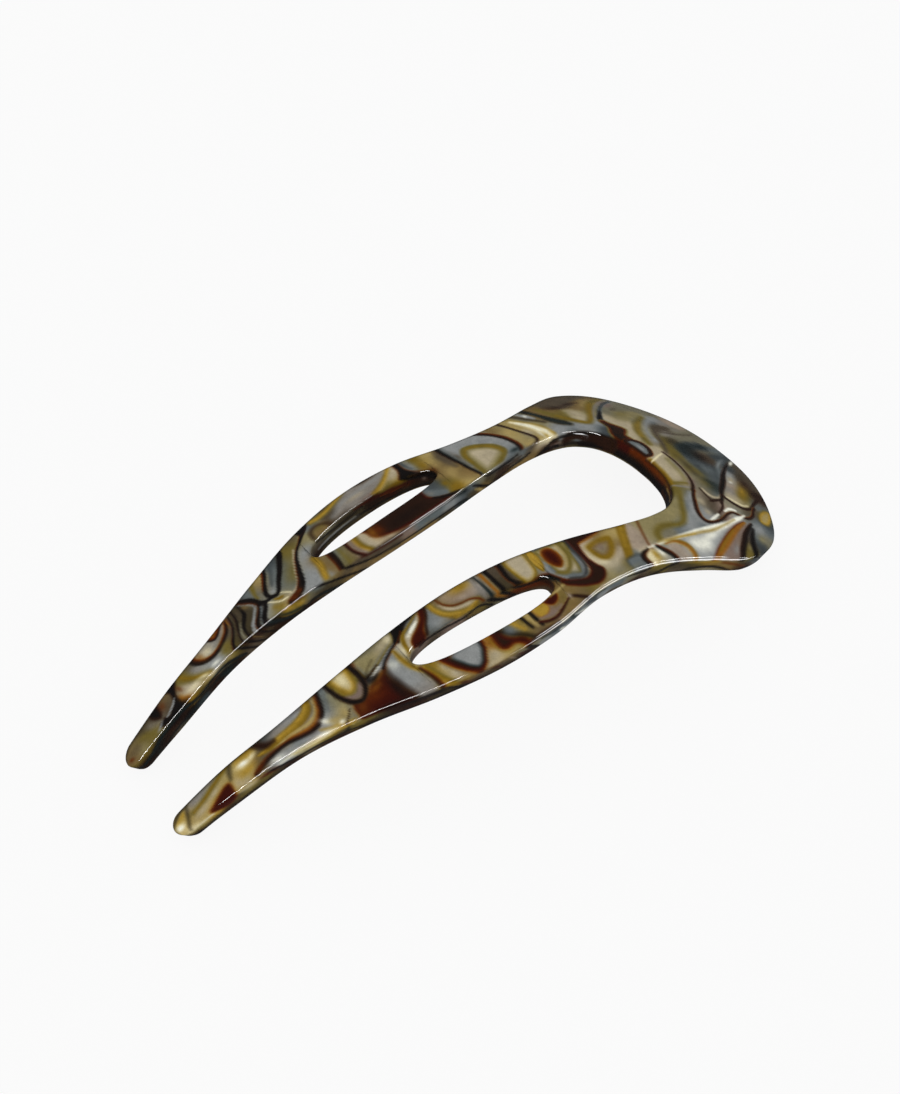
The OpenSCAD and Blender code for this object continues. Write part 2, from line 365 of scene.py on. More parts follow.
def middle_shares(stations):
    """Share of each section's width where its middle row lies: half, but it leads to the slot's ends."""
    at = np.array([0, SLOT_START, SLOT_START + SLOT_LENGTH, MIDDLE_ROW_END], float)
    outer, inner = section_end(at, 1)[1:3, 1], section_end(at, -1)[1:3, 1]
    slot = (np.array(SLOT_ENDS_ACROSS) - inner) / (outer - inner)
    shares = np.interp(stations, at, [.5, *slot, .5])
    return np.concatenate([shares, shares[-2::-1]])


def slot_rows(n, m, first):
    """Which loop each section of the ladder meets, 1 the near slot and 2 the far one, and where on it."""
    rows = {}
    for r in range(m):
        ids = (m - 1 - r, (m - 1 + r) % (2 * m - 2))
        rows[first + r] = (1, ids)
        rows[2 * n - 1 - first - m + r] = (2, ids)
    return rows


def face_rows(rings, tops, slots, shares, cell, base):
    """Rows of vertices across one face, each in an outer and an inner half, and the points they add.

    A row runs from the outline's outer side to its inner side. It ends at a slot's edges where it
    meets a slot, and elsewhere its halves meet at a point that lies at its share of the width.
    """
    size = 2 * len(shares) - 2
    rows, new = [], []
    for q, share in enumerate(shares):
        a, b = tops[0] + q, tops[0] + (size - q) % size
        pa, pb = rings[a], rings[b]
        if a == b:
            rows.append((np.array([a]), np.array([a])))
            continue
        if q in slots:
            which, ids = slots[q]
            c, d = tops[which] + ids[0], tops[which] + ids[1]
            pc, pd = rings[c], rings[d]
        else:
            pc = pd = pb + (pa - pb) * share
            c = d = base
            new.append(pc[None])
            base += 1
        row = []
        for (i, p), (j, o) in (((a, pa), (c, pc)), ((d, pd), (b, pb))):
            count = max(int(round(np.hypot(*(o - p)) / cell)), 1)
            u = np.linspace(0, 1, count + 1)[1:-1, None]
            inside = p + (o - p) * u
            new.append(inside)
            row.append(np.concatenate([[i], np.arange(base, base + len(inside)), [j]]).astype(int))
            base += len(inside)
        rows.append(row)
    return rows, np.concatenate(new), base


def pin_mesh(thickness, upper, lower, step, cell):
    """The whole pin: rings stepped down its edges, and both faces filled between the top and last rings.

    Gives for each vertex its flat place, the same folded out over the edge, its depth, its place along
    the wall and its kind, and then the triangles.
    """
    stations, place, first = half_stations(step)
    flats, overs, depths, walls, kinds, faces, starts = [], [], [], [], [], [], []
    base = 0
    for ring, places, what in edge_loops(stations, place):
        tipped = np.clip(1 - ring[:, 0] / TIP_ROUND_REACH, 0, 1) ** TIP_ROUND_FADE
        ins, deep = edge_steps(thickness, upper, lower + (TIP_ROUND - lower) * tipped)
        flats.append(np.concatenate([inset(ring, i) for i in ins]))
        folded = [inset(ring, np.where(d < upper, i, upper - d)) for i, d in zip(ins, deep)]
        overs.append(np.concatenate(folded))
        depths.append(deep.ravel())
        walls.append(np.tile(places, len(deep)))
        kinds.append(np.tile(what, len(deep)))
        faces.append(band(base, len(ring), len(deep)))
        starts.append((base, base + len(ring) * (len(deep) - 1)))
        base += len(ring) * len(deep)
    rings = np.concatenate(flats)
    slots = slot_rows(len(stations), len(place), first)
    shares = middle_shares(stations)
    for level, cell_size in ((0, cell), (1, cell * UNDER_CELLS)):
        tops = [start[level] for start in starts]
        rows, new, base = face_rows(rings, tops, slots, shares, cell_size, base)
        for halves, next_halves in zip(rows[:-1], rows[1:]):
            faces += [strip(a, b, level == 0) for a, b in zip(halves, next_halves)]
        flats.append(new)
        overs.append(new)
        depths.append(np.full(len(new), level * thickness))
        walls.append(np.zeros(len(new)))
        kinds.append(np.full(len(new), FACE))
    faces = np.concatenate(faces)
    whole = (faces[:, 0] != faces[:, 1]) & (faces[:, 1] != faces[:, 2]) & (faces[:, 0] != faces[:, 2])
    return *(np.concatenate(part) for part in (flats, overs, depths, walls, kinds)), faces[whole]


# Washes of the upper face: place along, place across and colour, in turn.
WASHES = [
    # far tip
    .8, 7.6, "tan", 1.2, 6.2, "tan", 2.6, 7.8, "tan", 3.4, 6.4, "khaki", 2.4, 8.6, "khaki",
    4.6, 8.4, "moss", 5.2, 9, "taupe", 5, 7, "olive", 6.4, 6.6, "olive", 6.4, 8.4, "taupe", 7, 7.4, "pearl",
    9.2, 8.6, "taupe", 10, 9.4, "tan", 10.4, 8.4, "taupe", 13.4, 7.3, "cream", 14.4, 7.6, "cream",
    15.2, 8.6, "pearl", 16.2, 8.8, "silver", 17.2, 8.3, "silver", 16.6, 7.1, "straw", 15.6, 10.4, "taupe",
    14, 10.2, "olive", 18.6, 10.6, "cream", 19.4, 10.1, "cream", 20.4, 10.1, "silver", 21.4, 10.5, "pearl",
    22.4, 11.4, "blush", 18.8, 11.3, "pearl", 18.4, 8, "silver", 19.6, 7.8, "silver", 20.4, 8.3, "silver",
    21.3, 7.8, "olive", 21.9, 8.8, "olive", 22.8, 9.9, "taupe",
    # fine bands of the far prong
    23.5, 8.4, "moss", 24.6, 10.4, "moss", 25.8, 11.6, "taupe", 25.9, 9, "moss", 27.3, 10.8, "moss",
    26.2, 12.6, "moss", 28.6, 13.1, "slate", 29.3, 12.2, "slate", 29.3, 11.2, "stone", 29.7, 8.6, "silver",
    30.2, 9.3, "silver", 30.7, 12.8, "tan", 31.4, 14.2, "straw", 30.4, 11.4, "stone", 30.6, 8, "olive",
    31.4, 8.6, "olive", 31.6, 7.5, "straw", 32.6, 8.3, "cream", 33, 9.2, "khaki", 31.7, 11.2, "silver",
    32.6, 12.6, "slate", 33.6, 14.2, "slate", 34.6, 15.6, "steel", 33.2, 10.6, "slate", 34.4, 12.2, "slate",
    35.4, 13.9, "slate", 34.3, 9.6, "slate", 34.9, 10.6, "olive", 35.6, 12.2, "olive", 36.5, 14.2, "olive",
    37.4, 15.9, "olive", 38.6, 17.2, "taupe", 38.4, 15.9, "olive", 36.6, 7.6, "silver", 37.1, 9, "silver",
    38, 10.6, "silver", 38.4, 12.6, "silver", 39.3, 14.2, "silver", 40.4, 15.6, "khaki",
    38.1, 7.6, "silver",
    # far slot, outer rail
    41.6, 18.2, "slate", 42.9, 17.9, "slate", 43.4, 15.8, "tan", 46, 17.1, "taupe", 47.4, 16.6, "taupe",
    48.2, 17.6, "pearl", 50.2, 17.2, "pearl", 50.6, 18.8, "pearl", 52.6, 18.2, "pearl", 54.6, 18.4, "pearl",
    52.6, 16.6, "lilac", 56.6, 19, "pearl", 57.8, 17.2, "cream", 58.7, 18.2, "cream", 56.4, 16.4, "olive",
    58.4, 16, "ochre", 61.1, 18.4, "slate", 61.2, 16.8, "slate", 62.4, 18.6, "olive", 63, 17, "ochre",
    63.4, 15.4, "tan", 64.6, 16.8, "straw", 64.8, 14.4, "tan", 65.6, 12.6, "straw", 66.6, 16.6, "taupe",
    66.6, 12.6, "tan", 66.6, 10.6, "tan", 64, 12.2, "tan", 63.6, 10.6, "olive", 64, 9, "ochre",
    65.8, 9, "straw", 65.2, 18.4, "straw", 66.6, 14.4, "taupe",
    # far slot, inner rail
    40.5, 9, "tan", 39.3, 11, "tan", 42.4, 9.4, "slate", 43.3, 9, "olive", 44.9, 9, "lilac",
    47.2, 9, "cream", 61.4, 9.8, "slate", 61.8, 11, "steel",
    # lens eye and the way to the crown
    69, 17.4, "silver", 71, 17.5, "silver", 73.4, 17.2, "silver", 75.2, 16.3, "silver",
    76.6, 14.6, "silver", 77.2, 12.8, "silver", 77, 11.3, "slate", 79.2, 17.6, "khaki", 79.4, 15.6, "straw",
    79.9, 13.4, "straw", 80.4, 11.8, "straw", 78.2, 17.6, "tan", 80.9, 12.9, "stone", 81.2, 17.8, "straw",
    82, 16.2, "straw", 82.4, 18.4, "khaki", 83, 14.2, "cream", 83.4, 12, "straw", 84.2, 18.6, "stone",
    85.9, 14.3, "khaki", 86.8, 13.1, "silver", 88, 12.3, "silver", 87.2, 11.3, "silver",
    89.6, 11.6, "slate", 91.4, 11.2, "silver", 92.8, 10.6, "silver", 88.8, 18.8, "tan", 89.4, 17, "tan",
    90.4, 18, "tan", 91, 16.2, "olive",
    # crown, far side
    92, 20.4, "taupe", 95, 21.2, "taupe", 98, 21.4, "taupe", 101, 21.4, "taupe", 95.6, 19.4, "taupe",
    94.6, 15.6, "khaki", 94.4, 14.2, "cream", 95.6, 15.4, "khaki", 96.2, 17, "tan", 98.8, 18.2, "tan",
    101, 19.2, "straw", 103.6, 20, "tan", 105.4, 20.3, "khaki", 95.3, 11.3, "silver", 96.2, 11.8, "silver",
    94.4, 9.8, "slate", 95, 8.6, "steel", 103.4, 17.9, "lilac", 105.6, 19.2, "pearl", 100.4, 15.9, "stone",
    98.9, 12.2, "cream", 99, 10.6, "cream", 100, 9.6, "cream", 99.6, 7.6, "cream", 98.6, 5.6, "cream",
    100.6, 11.6, "khaki", 102.6, 12.6, "khaki", 101, 13.4, "stone", 104, 14.8, "stone",
    104.4, 12.8, "khaki", 106.6, 12.2, "khaki", 106.4, 15.6, "stone", 109, 14.4, "stone",
    107.4, 17.6, "stone", 102.8, 7.9, "khaki", 104.4, 9.4, "stone", 106.6, 9.8, "slate",
    108.4, 10.6, "silver", 110.4, 12.2, "stone", 112.4, 10, "blush", 111.8, 8, "blush", 109, 8.4, "pearl",
    105.6, 7.6, "taupe", 107.4, 7, "taupe", 109.6, 6.2, "stone", 104.2, 5.4, "stone", 106, 5.2, "pearl",
    103.6, 3.6, "olive", 104.6, 3.2, "moss", 107, 3.8, "stone", 109.6, 3.6, "stone", 112.2, 5.2, "stone",
    112.8, 2.4, "stone", 99.4, 3.4, "khaki", 98.8, 1.6, "cream", 100.6, 3.4, "pearl", 100.4, 5.6, "khaki",
    99.4, .4, "cream",
    # crown, middle
    101.6, .6, "olive", 102.8, 1.6, "olive", 104.6, .8, "steel", 106.2, .6, "navy", 108, 1, "steel",
    110, .8, "steel", 112.6, -.4, "slate", 106.4, -1.6, "navy", 108.6, -1.6, "taupe", 110.6, -1.8, "steel",
    112.6, -2.4, "steel", 104.6, -2.2, "steel", 103.6, -3.6, "slate", 104.6, -5.4, "slate",
    106.4, -4.4, "steel", 108, -3.4, "taupe", 106.6, -6.2, "steel", 104.8, -7.2, "steel",
    103.6, -7.6, "slate", 101.2, -1.8, "olive", 101.6, -4, "olive", 100.8, -3, "stone", 102.4, -6, "olive",
    101, -6.6, "stone", 101.6, -8.4, "olive", 102.8, -8.9, "steel", 102, -10, "navy", 100.2, -9, "stone",
    101.2, -11, "slate", 100.2, -10.6, "stone", 98.8, -8.8, "stone", 97.2, -2.4, "cream", 97, -4.4, "cream",
    96.8, -6.2, "cream", 98.7, -3.4, "khaki", 98.6, -5.8, "khaki", 95, -8, "olive", 96.6, -8.2, "khaki",
    94.2, -8.8, "olive", 98.2, -7.4, "lilac",
    # crown, near side
    108, -8.6, "silver", 109.2, -7.8, "silver", 107, -9.8, "blush", 105, -10.8, "pearl",
    103.6, -12, "cream", 104.4, -13.4, "cream", 105.6, -14.2, "khaki", 107.2, -12.4, "olive",
    108.8, -11, "olive", 109.6, -9.6, "tan", 111.2, -8.6, "taupe", 112.6, -7, "taupe",
    111.6, -10.6, "taupe", 110.4, -12.6, "umber", 109, -13.6, "taupe", 111.4, -5.6, "steel",
    113.4, -5.2, "taupe", 108.4, -14.6, "slate", 106.4, -16.2, "taupe", 97.4, -10.4, "blush",
    97, -11.6, "stone", 98, -12.4, "taupe", 97.2, -13.6, "moss", 98.6, -13.6, "lilac", 96, -13.6, "silver",
    95.4, -14.6, "silver", 99.8, -13.6, "lilac", 98.8, -10.8, "taupe", 102, -13.4, "stone",
    101, -14, "cream", 103, -15.4, "stone", 101.8, -15.2, "silver", 104.4, -15.8, "taupe",
    83, -12.4, "khaki", 85.4, -12.4, "khaki", 88, -12.4, "khaki", 90.4, -11.6, "khaki", 82.4, -15, "khaki",
    85.6, -15.4, "stone", 88.6, -15.6, "slate", 91, -15.2, "silver", 92.6, -13.6, "silver",
    93.4, -12, "slate", 94.6, -10.6, "silver", 95.8, -9.6, "slate", 92.6, -15.2, "slate",
    91.6, -10.8, "khaki", 85, -17.6, "blush", 88.6, -18, "silver", 90, -19.4, "silver",
    92.4, -18.2, "silver", 88.8, -20.2, "silver", 91.6, -19.8, "silver", 95, -17.9, "silver",
    94, -21.8, "lilac", 95.6, -20.8, "lilac", 97.4, -19.6, "lilac", 99.6, -18.9, "lilac", 98, -22, "olive",
    99, -21.2, "taupe", 102, -20.4, "slate", 103.6, -19.2, "silver", 103.4, -21.4, "stone",
    105.4, -20, "slate", 104.6, -17.8, "slate", 106.6, -19, "steel", 101, -22, "steel",
    76.8, -17.6, "slate", 77.6, -18.2, "slate", 80, -17.8, "ivory", 81, -18.2, "gold", 82, -17.4, "silver",
    81.8, -19, "silver", 80, -13.4, "blush", 80.4, -15.2, "blush", 76.4, -11.4, "straw", 77, -12, "straw",
    # near prong by the slot
    75, -10.9, "tan", 76, -13.2, "tan", 75.6, -15.2, "blush", 73.6, -16, "cream", 72, -15.6, "cream",
    71.2, -14, "ivory", 71.1, -12, "cream", 72.4, -10.8, "blush", 71.6, -17.6, "khaki",
    73.8, -17.5, "stone", 75.8, -17.2, "olive", 69.6, -18, "tan", 67.6, -18.1, "olive", 66, -17.4, "tan",
    64.6, -16.4, "tan", 63, -16.6, "olive", 64, -18.6, "tan", 62, -17.6, "tan", 66, -18.6, "taupe",
    60.2, -18.3, "lilac", 61.8, -19.2, "tan", 58.6, -19.6, "tan", 60, -13, "rust", 62.6, -13.6, "rust",
    63.4, -14.8, "tan", 63.2, -15.6, "tan", 61.8, -9.6, "cream", 61.9, -8, "cream", 61.6, -11.2, "khaki",
    61.4, -12.2, "olive", 63.4, -12.3, "silver", 57.6, -8.4, "taupe", 57.6, -10.6, "moss",
    59.4, -10.4, "taupe", 59.5, -8, "taupe", 55.6, -12.2, "tan", 54.2, -8, "pearl", 54.2, -10, "silver",
    53.8, -11, "taupe", 53.4, -8.6, "blush", 49.4, -7.8, "blush", 50.4, -8.8, "lilac", 52, -9.2, "lilac",
    48.9, -9.4, "tan", 50.4, -10.3, "tan", 52.4, -11, "olive", 49.6, -11.3, "tan", 45.4, -8.4, "slate",
    45.4, -9.8, "slate", 46.4, -9.2, "silver", 46.8, -10.4, "silver", 44.4, -10.4, "slate", 47.9, -8, "tan",
    44, -11.8, "tan", 47, -11.8, "tan", 51, -12, "tan", 43, -7.5, "slate", 41, -10.6, "cream",
    40.9, -11.6, "tan", 41.2, -15.4, "ochre", 42.4, -16.4, "straw", 43.2, -18, "cream", 44.4, -19.2, "tan",
    46.4, -17, "silver", 46.8, -18.2, "silver", 49.6, -16.9, "orange", 49.2, -18.6, "straw",
    49, -19.4, "cream", 51, -20, "straw", 52.8, -17.2, "slate", 53.8, -17.6, "silver", 54.6, -17, "ochre",
    55, -18.4, "olive", 55.4, -19.6, "tan", 56.6, -17, "straw", 56.8, -18.6, "tan", 52.4, -16.5, "steel",
    56.8, -19.8, "taupe",
    # near prong, middle and tip
    37.4, -12.6, "silver", 37.6, -14.4, "silver", 38.8, -15.8, "silver", 38.2, -11.2, "slate",
    38.4, -10.2, "silver", 39.4, -17, "pearl", 38, -17, "pearl", 39.8, -10.6, "cream", 39.7, -12.4, "khaki",
    41.4, -18.6, "ochre", 26.9, -9.6, "slate", 26.6, -11.2, "silver", 25, -11.9, "silver",
    23.4, -12.2, "lilac", 21, -11.5, "slate", 27.4, -8, "slate", 27.9, -9.4, "khaki", 28.2, -11.2, "khaki",
    27.4, -12.6, "straw", 28.8, -13.2, "stone", 29.3, -14, "stone", 18.6, -8.3, "pearl", 20.4, -8, "silver",
    22.4, -7.8, "silver", 17.4, -7.7, "steel", 19.4, -9.4, "tan", 17.4, -11, "silver",
    18.8, -11.4, "silver", 16.6, -9, "taupe", .8, -7.4, "straw", 1.4, -6.6, "straw", 2.4, -7.2, "straw",
    3.2, -8.2, "straw", 4.6, -6.5, "pearl", 6, -6.3, "silver", 7.6, -6.5, "stone", 4.6, -8, "straw",
    6.4, -8, "straw", 8, -7.6, "straw", 9.6, -7.3, "straw", 5, -8.9, "straw", 10.8, -8.6, "straw",
    10.9, -7.2, "khaki", 12, -9.4, "straw", 13.4, -9.2, "straw", 14.8, -9, "tan", 13.8, -7.6, "gold",
    12.6, -8.2, "straw", 12, -10.4, "straw", 16, -9.3, "taupe",
]


def hex_rgb(text):
    """An sRGB hex value as three numbers from 0 to 1."""
    return np.array([int(text[i:i + 2], 16) / 255 for i in (1, 3, 5)])


RGB = {name: hex_rgb(text) for name, text in COLOURS.items()}


def smooth_path(flat, width, closed=False):
    """A smooth cubic through every given point, as short legs; a closed one comes back to its start.

    At a point it runs the way from the point before to the point after, by half of their distance.
    """
    p = np.array(flat, float).reshape(-1, width)
    if closed:
        p = np.vstack([p[-1], p, p[0], p[1]])
    else:
        p = np.vstack([2 * p[0] - p[1], p, 2 * p[-1] - p[-2]])
    a, b, c, d = p[:-3, None], p[1:-2, None], p[2:-1, None], p[3:, None]
    u = (np.arange(PATH_LEGS) / PATH_LEGS)[None, :, None]
    q = .5 * (2 * b + (c - a) * u + (2 * a - 5 * b + 4 * c - d) * u ** 2 + (3 * b - a - 3 * c + d) * u ** 3)
    q = q.reshape(-1, width)
    return np.vstack([q, q[:1] if closed else p[-2:-1]])


def nearest(points, path):
    """Distance from each point to the nearest leg of a path, its side of it, and its place along it."""
    a, b = path[:-1, :2], path[1:, :2]
    leg = b - a
    gap = points[:, None] - a[None]
    along = np.clip((gap * leg).sum(2) / np.maximum((leg ** 2).sum(1), TINY), 0, 1)
    away = gap - along[..., None] * leg
    square = (away ** 2).sum(2)
    k = square.argmin(1)
    n = np.arange(len(points))
    leg_k, away_k = leg[k], gap[n, k]
    side = np.sign(leg_k[:, 0] * away_k[:, 1] - leg_k[:, 1] * away_k[:, 0])
    return np.sqrt(square[n, k]), side, k + along[n, k]


def stops_colour(stops, at):
    """Colours at distances, blended between stops: a distance and a colour's name in turn."""
    x = np.array(stops[0::2], float)
    c = np.array([RGB[name] for name in stops[1::2]])
    return np.stack([np.interp(at, x, c[:, i]) for i in range(3)], -1)


class Face:
    """Colours of a set of points of the flat sheet, painted one mark over another."""

    def __init__(self, points, washes, tall=1):
        """Mean of the washes' colours at each point, each weighing less with its distance squared."""
        self.p = points
        names = washes[2::3]
        spots = np.array([washes[0::3], washes[1::3]], float).T
        tint = np.array([RGB[n] for n in names])
        self.rgb = np.zeros((len(points), 3))
        for start in range(0, len(points), POINTS_AT_ONCE):
            part = slice(start, start + POINTS_AT_ONCE)
            square = (((points[part, None] - spots[None]) * (1, tall)) ** 2).sum(2)
            weight = np.exp(-square / WASH_REACH) + WASH_TAIL / (square + WASH_CORE) ** 3
            self.rgb[part] = (weight[..., None] * tint).sum(1) / weight.sum(1)[:, None]

    def near(self, low, high):
        """Numbers of the points inside a box."""
        return np.flatnonzero(((self.p > low) & (self.p < high)).all(1))

    def lay(self, at, colour, alpha):
        """Lays a colour over points by a share from 0 to 1."""
        alpha = np.clip(alpha, 0, 1)[:, None]
        self.rgb[at] = self.rgb[at] * (1 - alpha) + colour * alpha

    def chip(self, outline, stops, soft=.25, strength=1):
        """A closed smooth patch: its colours run inwards from its edge."""
        path = smooth_path(outline, 2, closed=True)
        at = self.near(path.min(0) - MARK_MARGIN, path.max(0) + MARK_MARGIN)
        if not len(at):
            return
        p = self.p[at]
        far = nearest(p, path)[0]
        x0, y0 = path[:-1].T
        x1, y1 = path[1:].T
        cross = (y0[None] > p[:, 1:]) != (y1[None] > p[:, 1:])
        reach = x0 + (p[:, 1:] - y0) * (x1 - x0) / np.where(y1 == y0, TINY, y1 - y0)
        inside = (cross & (p[:, :1] < reach)).sum(1) % 2 == 1
        depth = np.where(inside, far, -far)
        self.lay(at, stops_colour(stops, depth), (depth / soft + .5) * strength)

    def vein(self, line, stops, soft=.2, strength=1):
        """An open smooth stroke of changing half width: its colours run from its right side to its left."""
        path = smooth_path(line, 3)
        wide = np.maximum(path[:, 2], THINNEST_VEIN)
        margin = wide.max() + MARK_MARGIN
        at = self.near(path[:, :2].min(0) - margin, path[:, :2].max(0) + margin)
        if not len(at):
            return
        far, side, place = nearest(self.p[at], path)
        half = np.interp(place, np.arange(len(path)), wide)
        if isinstance(stops, str):
            stops = [0, stops]
        self.lay(at, stops_colour(stops, side * far / half), ((half - far) / soft + .5) * strength)

    def glow(self, spots, colour, strength=1):
        """Soft round spots: place along and across, reach along and across, turn in degrees."""
        for x, y, rx, ry, turn in np.array(spots, float).reshape(-1, 5):
            d = self.p - [x, y]
            t = np.radians(turn)
            u = (d[:, 0] * np.cos(t) + d[:, 1] * np.sin(t)) / rx
            v = (-d[:, 0] * np.sin(t) + d[:, 1] * np.cos(t)) / ry
            a = np.exp(-(u * u + v * v)) * strength
            at = np.flatnonzero(a > FAINTEST_GLOW)
            self.lay(at, RGB[colour], a[at])


def far_tip(f):
    """Tip of the far prong: dark olive with black chips, then a gold band and a brown crescent."""
    f.glow([2, 7, 2.4, 1, 10], "taupe", .45)
    f.glow([.9, 6.4, .5, .3, -20], "rust", .8)
    f.vein([0, 7.6, .2, 1.6, 8.4, .3, 4, 8.9, .4, 6.6, 9.3, .4], "moss", .6, .8)
    f.glow([4.4, 7.4, 1.4, .6, -15, 5.8, 6.6, 1, .5, -10], "olive", .8)
    f.glow([6, 7.9, .8, .5, -30], "pearl", .5)
    f.chip([6.8, 9.9, 8.6, 10, 8.9, 8.8, 8.7, 7.7, 8, 7.2, 6.8, 8, 6.4, 9], [0, "taupe", .4, "umber",
            .8, "ink"], .5)
    f.glow([9.1, 8.8, .6, .8, 0], "rust", .55)
    f.chip([13.2, 10.7, 12.2, 9.3, 11.8, 8.2, 12.2, 7.2, 13.2, 6.4, 10.9, 5.9, 8, 5.9, 7.2, 6.6, 8.4, 7.1,
            9.2, 6.7, 10.4, 7.5, 11, 8.4, 11, 9.4, 10.6, 10.4], [0, "umber", .35, "ink"], .4)
    f.glow([12.2, 7.3, .45, .8, 20, 12.9, 6.7, .7, .4, -20], "orange", .85)
    f.glow([12.6, 8.8, .35, .8, 20], "rust", .6)
    f.vein([6.6, 6.1, .1, 7.4, 6.5, .2, 8, 7, .1], "silver", .25, .8)
    f.vein([8.9, 6.8, .1, 9.6, 7.05, .16, 10.6, 7.6, .18, 11.2, 8.2, .1], "silver", .2)
    f.vein([13.5, 10.5, .7, 14.2, 9.3, .75, 15.3, 8.3, .6, 16.6, 7.5, .5, 17.6, 7.1, .4],
           [-1, "olive", 0, "ochre", 1, "olive"], .9)
    f.glow([14.6, 7.2, 1, .5, 0, 16.6, 7.3, .9, .3, -20], "ivory", .8)
    f.glow([16.4, 9, .8, .6, -30], "pearl", .6)
    f.glow([18.8, 7.9, 1.2, .5, 0, 20, 7.6, .8, .4, 0], "silver", .8)
    # Painted highlight: a near-white glint on the silver chip.
    f.glow([19, 7.6, .7, .3, 0], "gleam", .8)
    f.chip([19.6, 12.2, 19.8, 11.5, 20.8, 10.8, 21.7, 11.1, 22.7, 12, 23.3, 12.7, 21, 12.8],
           [0, "ink", .22, "umber", .45, "rust", .9, "orange"], .25)
    f.vein([16.3, 11.4, .6, 16.8, 10.2, .58, 17.8, 9.3, .5, 19.2, 8.9, .44, 20.6, 9.2, .44, 21.9, 9.9, .44,
            23, 10.9, .4, 23.6, 12.3, .34], [-1, "ink", 0, "umber", .6, "rust", 1, "orange"], .35)
    f.glow([17.8, 10.3, .4, 1, 25], "orange", .6)
    f.glow([19, 10.2, .7, .6, 0], "ivory", .6)
    f.glow([21.2, 8, .7, .6, 0, 21.7, 8.6, .7, .7, 0], "olive", .85)


def far_bands(f):
    """Fine dark bands of the far prong, the fork where they meet and the pearly chips past it."""
    f.vein([23.9, 12.5, .14, 23.75, 11.6, .14, 23.6, 10.8, .1], "orange", .2, .7)
    f.vein([24.3, 12.5, .15, 24.15, 11.2, .18, 23.9, 10.3, .2, 23.3, 9.2, .22, 22.6, 8.2, .27, 22.2, 7, .3],
           [-1, "maroon", 0, "ink"], .25)
    f.vein([25.1, 12.9, .18, 25.1, 11.8, .2, 24.9, 10.8, .22, 24.5, 9.8, .2, 24.2, 8.9, .2, 23.9, 7.9, .18,
            23.9, 7, .2], [-1, "umber", .5, "ink"], .25)
    f.vein([25.2, 10.1, .1, 24.8, 9.3, .15, 24.45, 8.4, .24, 24.4, 7, .28], "stone", .3)
    f.vein([26.4, 13, .22, 26.5, 11.6, .3, 26.3, 10.7, .35, 25.7, 9.9, .32, 25.2, 9.1, .28, 25, 8.2, .22,
            25, 7, .22], "ink", .25)
    f.vein([26.5, 13, .08, 27.3, 12.3, .1, 28, 11.5, .12, 28.3, 10.9, .16, 28, 10.3, .18, 27.5, 9.7, .2,
            27, 9, .22, 26.5, 8.4, .28, 26.2, 7.6, .32, 26.1, 7, .3], "silver", .25)
    f.glow([27.1, 11.9, .8, .4, -45], "tan", .7)
    f.vein([26.7, 13.6, .3, 27.5, 12.9, .5, 28.4, 12.1, .5, 28.9, 11.2, .5, 28.9, 10.4, .42, 28.4, 9.6, .36,
            27.7, 8.8, .34, 27, 8, .36, 26.8, 7, .36], [-1, "rust", -.5, "umber", 0, "ink"], .25)
    f.vein([29, 10.2, .1, 28.6, 9.3, .16, 28.1, 8.5, .16, 27.6, 7.4, .16], "slate", .25)
    f.vein([29.2, 11, .2, 29.7, 10.3, .35, 29.5, 9.6, .36, 29, 8.9, .4, 28.4, 8.2, .42, 28, 7, .42], "ink",
           .25)
    f.vein([29.9, 14.8, .35, 29.6, 13.4, .35, 29.4, 12.4, .25, 29.5, 11.6, .15], "olive", .4)
    f.vein([29.2, 10.8, .2, 29.9, 10.3, .28, 30.8, 10.15, .26, 31.8, 10, .26], "ink", .25)
    f.vein([32.7, 15.7, .38, 32.2, 14.4, .38, 31.5, 13.2, .36, 30.95, 12, .36, 30.7, 11.1, .34, 31, 10.4, .3,
            31.8, 10.05, .3, 32.5, 10.5, .34, 33.3, 11.8, .38, 34.4, 13.3, .42, 35.3, 14.8, .46, 36, 16, .5,
            36.3, 17, .5], "ink", .25)
    f.vein([32.35, 15.6, .14, 31.9, 14.5, .14, 31.2, 13.2, .12, 30.6, 12.2, .08], "rust", .2)
    f.vein([33.6, 15.4, .3, 33.3, 14.2, .3, 32.6, 12.9, .3, 32.2, 12, .2], "steel", .5, .6)
    f.glow([31.7, 10.9, .3, .4, 0], "silver", .8)
    f.vein([38.1, 15.2, .12, 37, 13.2, .14, 36.2, 11.6, .14, 35.7, 10.4, .14, 35.2, 9.4, .14, 34.2, 8.6, .14,
            33, 8.5, .1], "cream", .25)
    f.vein([42.2, 18.9, .5, 41.2, 17.4, .45, 40.2, 16.4, .3, 39.2, 15.45, .26, 38.3, 14.6, .26,
            37.4, 13.2, .32, 36.9, 12, .4, 36.4, 10.8, .48, 36, 9.7, .55, 35.4, 8.7, .65, 34.6, 7.9, .62,
            33.4, 7.5, .55, 32.6, 7.4, .4], [-1, "rust", -.5, "umber", .1, "ink"], .22)
    f.glow([33.4, 7.6, .9, .5, 0, 34.6, 8, .6, .4, 20], "rust", .9)
    f.vein([30.2, 9.8, .07, 31, 9, .1, 31.8, 8.5, .12, 32.8, 8.35, .12], "ivory", .2)
    f.vein([32.4, 9.9, .06, 33.2, 9.2, .1, 33.6, 8.7, .1], "ivory", .2)
    f.vein([31.1, 9.6, .1, 31.7, 9.2, .2, 32.3, 9.1, .2], "ochre", .2)
    f.glow([30.5, 8.3, .5, .5, 0, 31.2, 7.8, .6, .4, 0], "ochre", .6)
    f.chip([39.9, 18.6, 42, 19, 42.3, 18, 41.3, 17, 40.4, 16.8, 40, 17.6], [0, "umber", .3, "ink"], .35)


